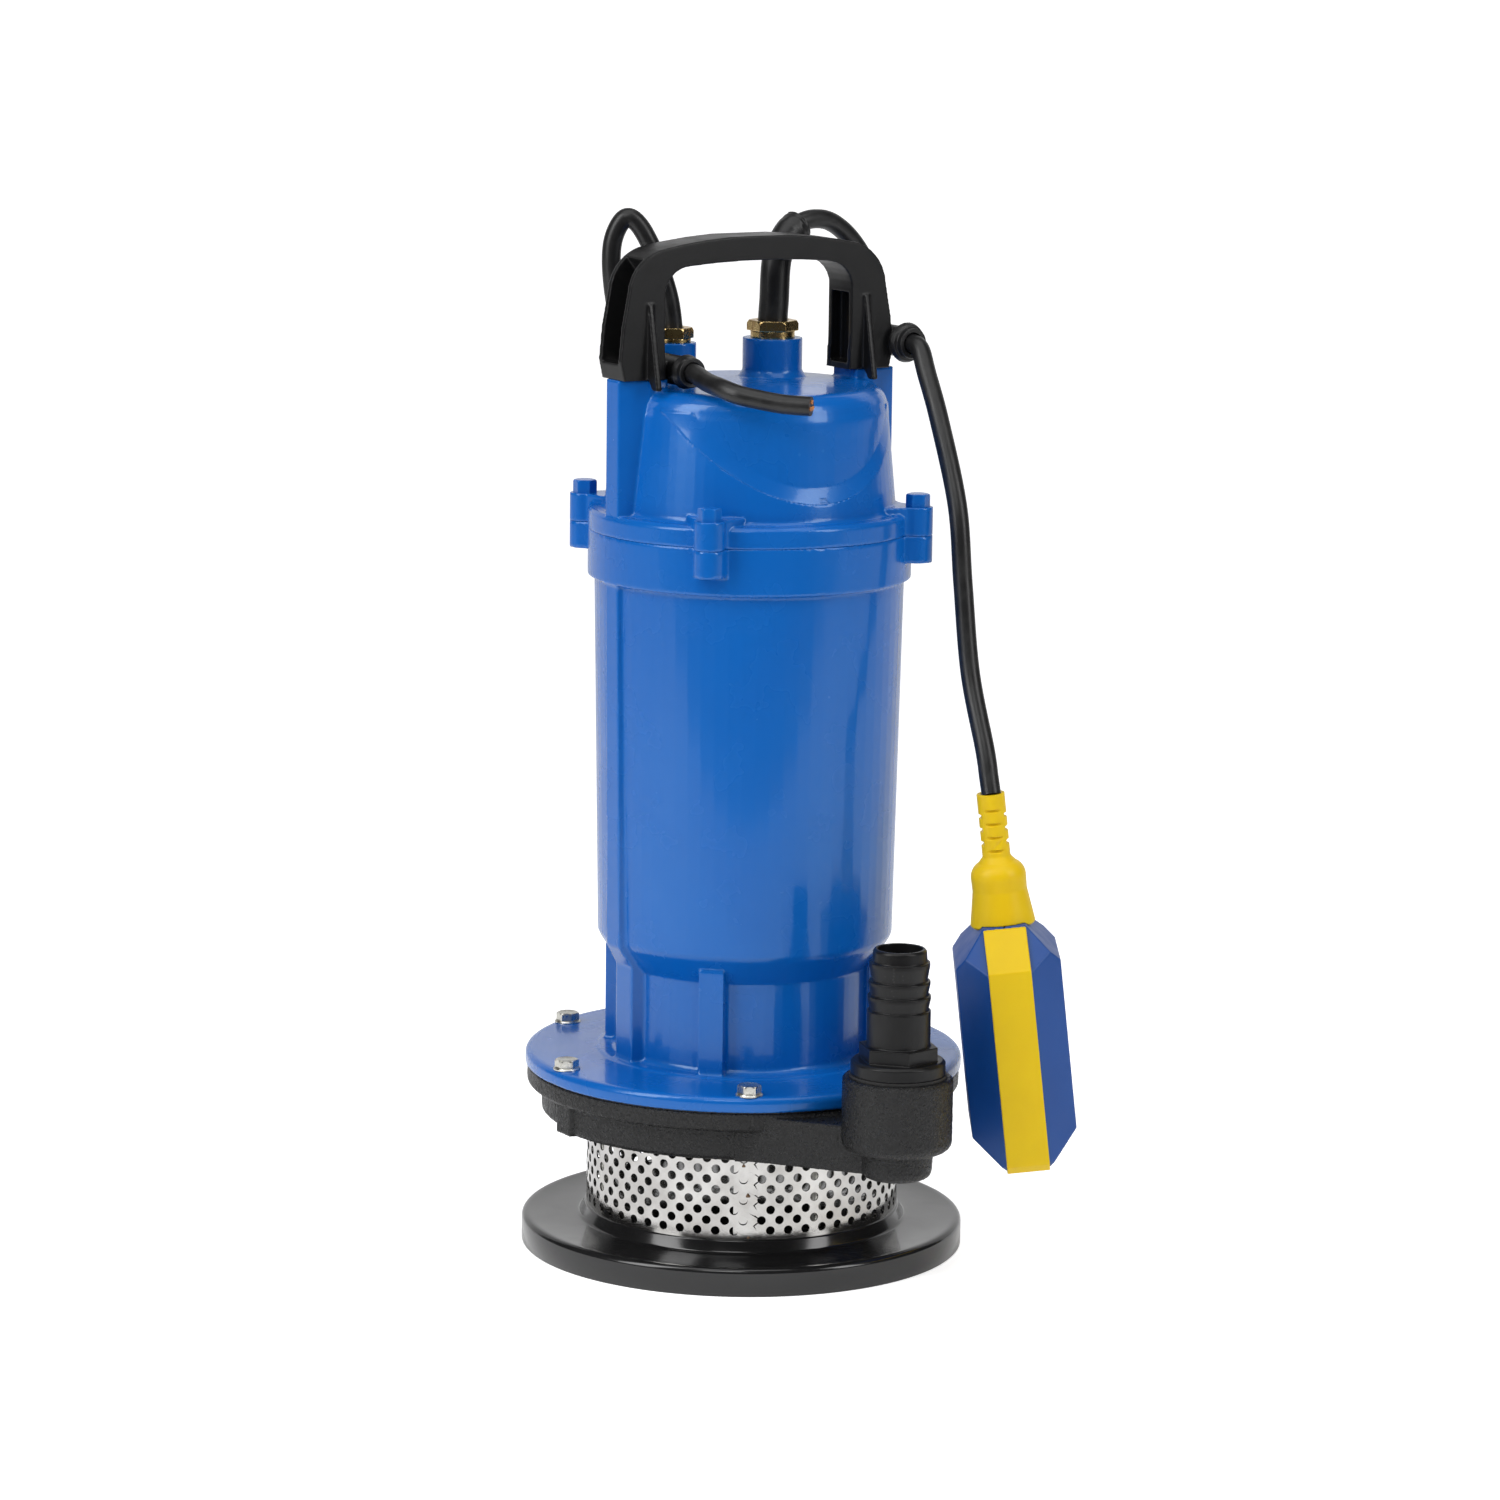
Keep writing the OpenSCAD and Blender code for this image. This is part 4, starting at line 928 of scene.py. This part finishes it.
skin("volute", 0.7, 2, grain=(1.3, 0.2))
skin("motor_housing", 0.75, 1)
slope_ledge(skin("top_cover", 0.6, 1))
skin("handle", 0.5, 8)
skin("hose_connector", 0.32, 1)
skin("float_boot", 0.32, 2)
skin("float_band", 0.45, 2)
skin("float_shell_left", 0.6, 2)
skin("float_shell_right", 0.6, 2)
for small in ("float_gland_body", "power_gland_body", "float_gland_nut", "power_gland_nut"):
    skin(small, 0.22, 1)
for rubber in ("power_grommet", "float_grommet"):
    skin(rubber, 0.3, 3)

flange_top = cad("flange_bolts")[1].z - 5.1
lug_top = cad("cover_bolts")[1].z - 6.4
flange_places = ring_places(6, FLANGE_BOLT_R)
lug_places = ring_places(4, LUG_BOLT_R, 45)
bolt_set("flange_bolt_heads", "flange_bolts", flange_places, flange_top, 4.0, 6.4, "zinc_fasteners", 0.5, 15)
bolt_set("cover_bolt_heads", "cover_bolts", lug_places, lug_top, 6.2, 0, "blue_paint", 0.0, 22)

power_path = [
    (-30, 22, 404), (-30, 22, 430), (-30.2, 22, 441), (-33, 22.2, 457), (-39.4, 24, 475.6),
    (-46.5, 27, 489.7), (-52.4, 30, 492.8), (-57, 33, 482.4), (-57.5, 33, 466), (-55, 30, 446),
    (-49, 22, 430), (-44.6, 10, 424.6), (-44.6, -8, 424.6), (-44.6, -20.5, 424.6), (-46, -35, 422),
    (-46.6, -48.7, 420.6), (-44, -57.5, 418.6), (-39.1, -62.8, 417.1), (-28.2, -72.4, 414.8),
    (-18.8, -82.4, 414.3)]
sleeve_path = [
    (25, 22, 404), (25, 22, 440), (25.6, 22, 452), (27, 22.4, 471), (33, 24, 482), (41, 25.4, 487.4)]
loop_path = [
    (33, 24.6, 483), (42, 25.6, 488), (50.6, 26.6, 489.6), (60, 27.4, 488), (70, 28, 481.5),
    (79, 28.4, 471), (84.6, 28, 458), (84.4, 24.5, 445), (79.6, 17.5, 435.4), (77.8, 9, 433),
    (77.8, -3, 433), (77.8, -13, 433)]
cable_piece("power_cable_sheath", power_path, POWER_CABLE_R, "power_cable")
cable_piece("float_cable_upper", loop_path, FLOAT_CABLE_R, "float_cable_loop")
cable_piece("float_cable_thick_sleeve", sleeve_path, taped_end(SLEEVE_R, 0.8, 0.5), "float_cable_sleeve")
cable_cores(power_path)
hanging_cable()

for name, node in nodes.items():
    if not node.hide_render:
        node.data.materials.clear()
        node.data.materials.append(MATERIALS[SLOT_OF[name]])


# ---------------------------------------------------------------- stage, light and camera

def pale_floor():
    """Matt floor that the camera sees as white, and that lights the object less."""
    s = Shader("pale_floor")
    lit, seen = 0.25, 0.75
    tone = s.blend_colors(s.noise(300, 2), (0.88, 0.88, 0.885), (0.91, 0.91, 0.91))
    camera_ray = s.node("ShaderNodeLightPath").outputs["Is Camera Ray"]
    return s.finish(
        Base_Color=tone, Roughness=0.7, Specular_IOR_Level=0.1, Emission_Color=tone,
        Emission_Strength=s.ramp(camera_ray, 0, 1, lit, seen))


def stage():
    """Floor that curves up into a backdrop far behind the object."""
    half_width, back, front, bend, top = 4000, 3000, 1000, 600, 3500
    profile = [(-front, 0), (back - bend, 0)]
    for degrees in range(10, 91, 10):
        a = math.radians(degrees)
        profile.append((back - bend + bend * math.sin(a), bend - bend * math.cos(a)))
    profile.append((back, top))
    turn = Matrix.Rotation(math.radians(CAMERA_AZIMUTH), 3, "Z")
    points = [turn @ Vector((side, along, z)) for along, z in profile for side in (-half_width, half_width)]
    faces = [(2 * i, 2 * i + 1, 2 * i + 3, 2 * i + 2) for i in range(len(profile) - 1)]
    mesh = mesh_from("floor", points, faces)
    floor = bpy.data.objects.new("floor", mesh)
    bpy.context.scene.collection.objects.link(floor)
    mesh.materials.append(pale_floor())


def softbox(name, azimuth, elevation, distance, width, height, power):
    """Rectangular area light aimed at the object; azimuth is counted from the camera's side."""
    a, e = math.radians(CAMERA_AZIMUTH + azimuth - 90), math.radians(elevation)
    towards = Vector((math.cos(a) * math.cos(e), math.sin(a) * math.cos(e), math.sin(e)))
    data = bpy.data.lights.new(name, "AREA")
    data.shape = "RECTANGLE"
    data.size = width * MM
    data.size_y = height * MM
    data.energy = power
    lamp = bpy.data.objects.new(name, data)
    bpy.context.scene.collection.objects.link(lamp)
    lamp.location = (LIGHTS_AIM + towards * distance) * MM
    lamp.rotation_euler = (-towards).to_track_quat("-Z", "Y").to_euler()


def studio_world():
    """White to the camera, soft grey to the object's shading, and nearly dark in its reflections."""
    seen, lighting, mirrored = 1.0, 0.29, 0.04
    world = bpy.data.worlds.new("studio")
    bpy.context.scene.world = world
    world.use_nodes = True
    tree = world.node_tree
    rays = tree.nodes.new("ShaderNodeLightPath")
    inner = tree.nodes.new("ShaderNodeMix")
    inner.inputs[2].default_value = lighting
    inner.inputs[3].default_value = mirrored
    outer = tree.nodes.new("ShaderNodeMix")
    outer.inputs[3].default_value = seen
    tree.links.new(rays.outputs["Is Glossy Ray"], inner.inputs[0])
    tree.links.new(inner.outputs[0], outer.inputs[2])
    tree.links.new(rays.outputs["Is Camera Ray"], outer.inputs[0])
    tree.links.new(outer.outputs[0], tree.nodes["Background"].inputs["Strength"])
    tree.nodes["Background"].inputs["Color"].default_value = (1, 1, 1, 1)


def camera():
    data = bpy.data.cameras.new("camera")
    data.lens = CAMERA_LENS
    data.clip_end = 20
    made = bpy.data.objects.new("camera", data)
    bpy.context.scene.collection.objects.link(made)
    made.location = CAMERA_AT * MM
    turn = Matrix.Rotation(math.radians(CAMERA_AZIMUTH), 3, "Z")
    pitch = Matrix.Rotation(math.radians(90 - CAMERA_PITCH), 3, "X")
    roll = Matrix.Rotation(math.radians(CAMERA_ROLL), 3, "Z")
    made.rotation_euler = (turn @ pitch @ roll).to_euler()
    bpy.context.scene.camera = made


stage()
softbox("key_left", -56, 33, 1500, 560, 1300, 12)
softbox("fill_right", 58, 30, 1600, 420, 1300, 8)
softbox("top", 10, 80, 1500, 1300, 1300, 7.5)
softbox("front", -10, 42, 2200, 700, 500, 5.5)
studio_world()
camera()
bpy.context.scene.view_settings.view_transform = "Standard"
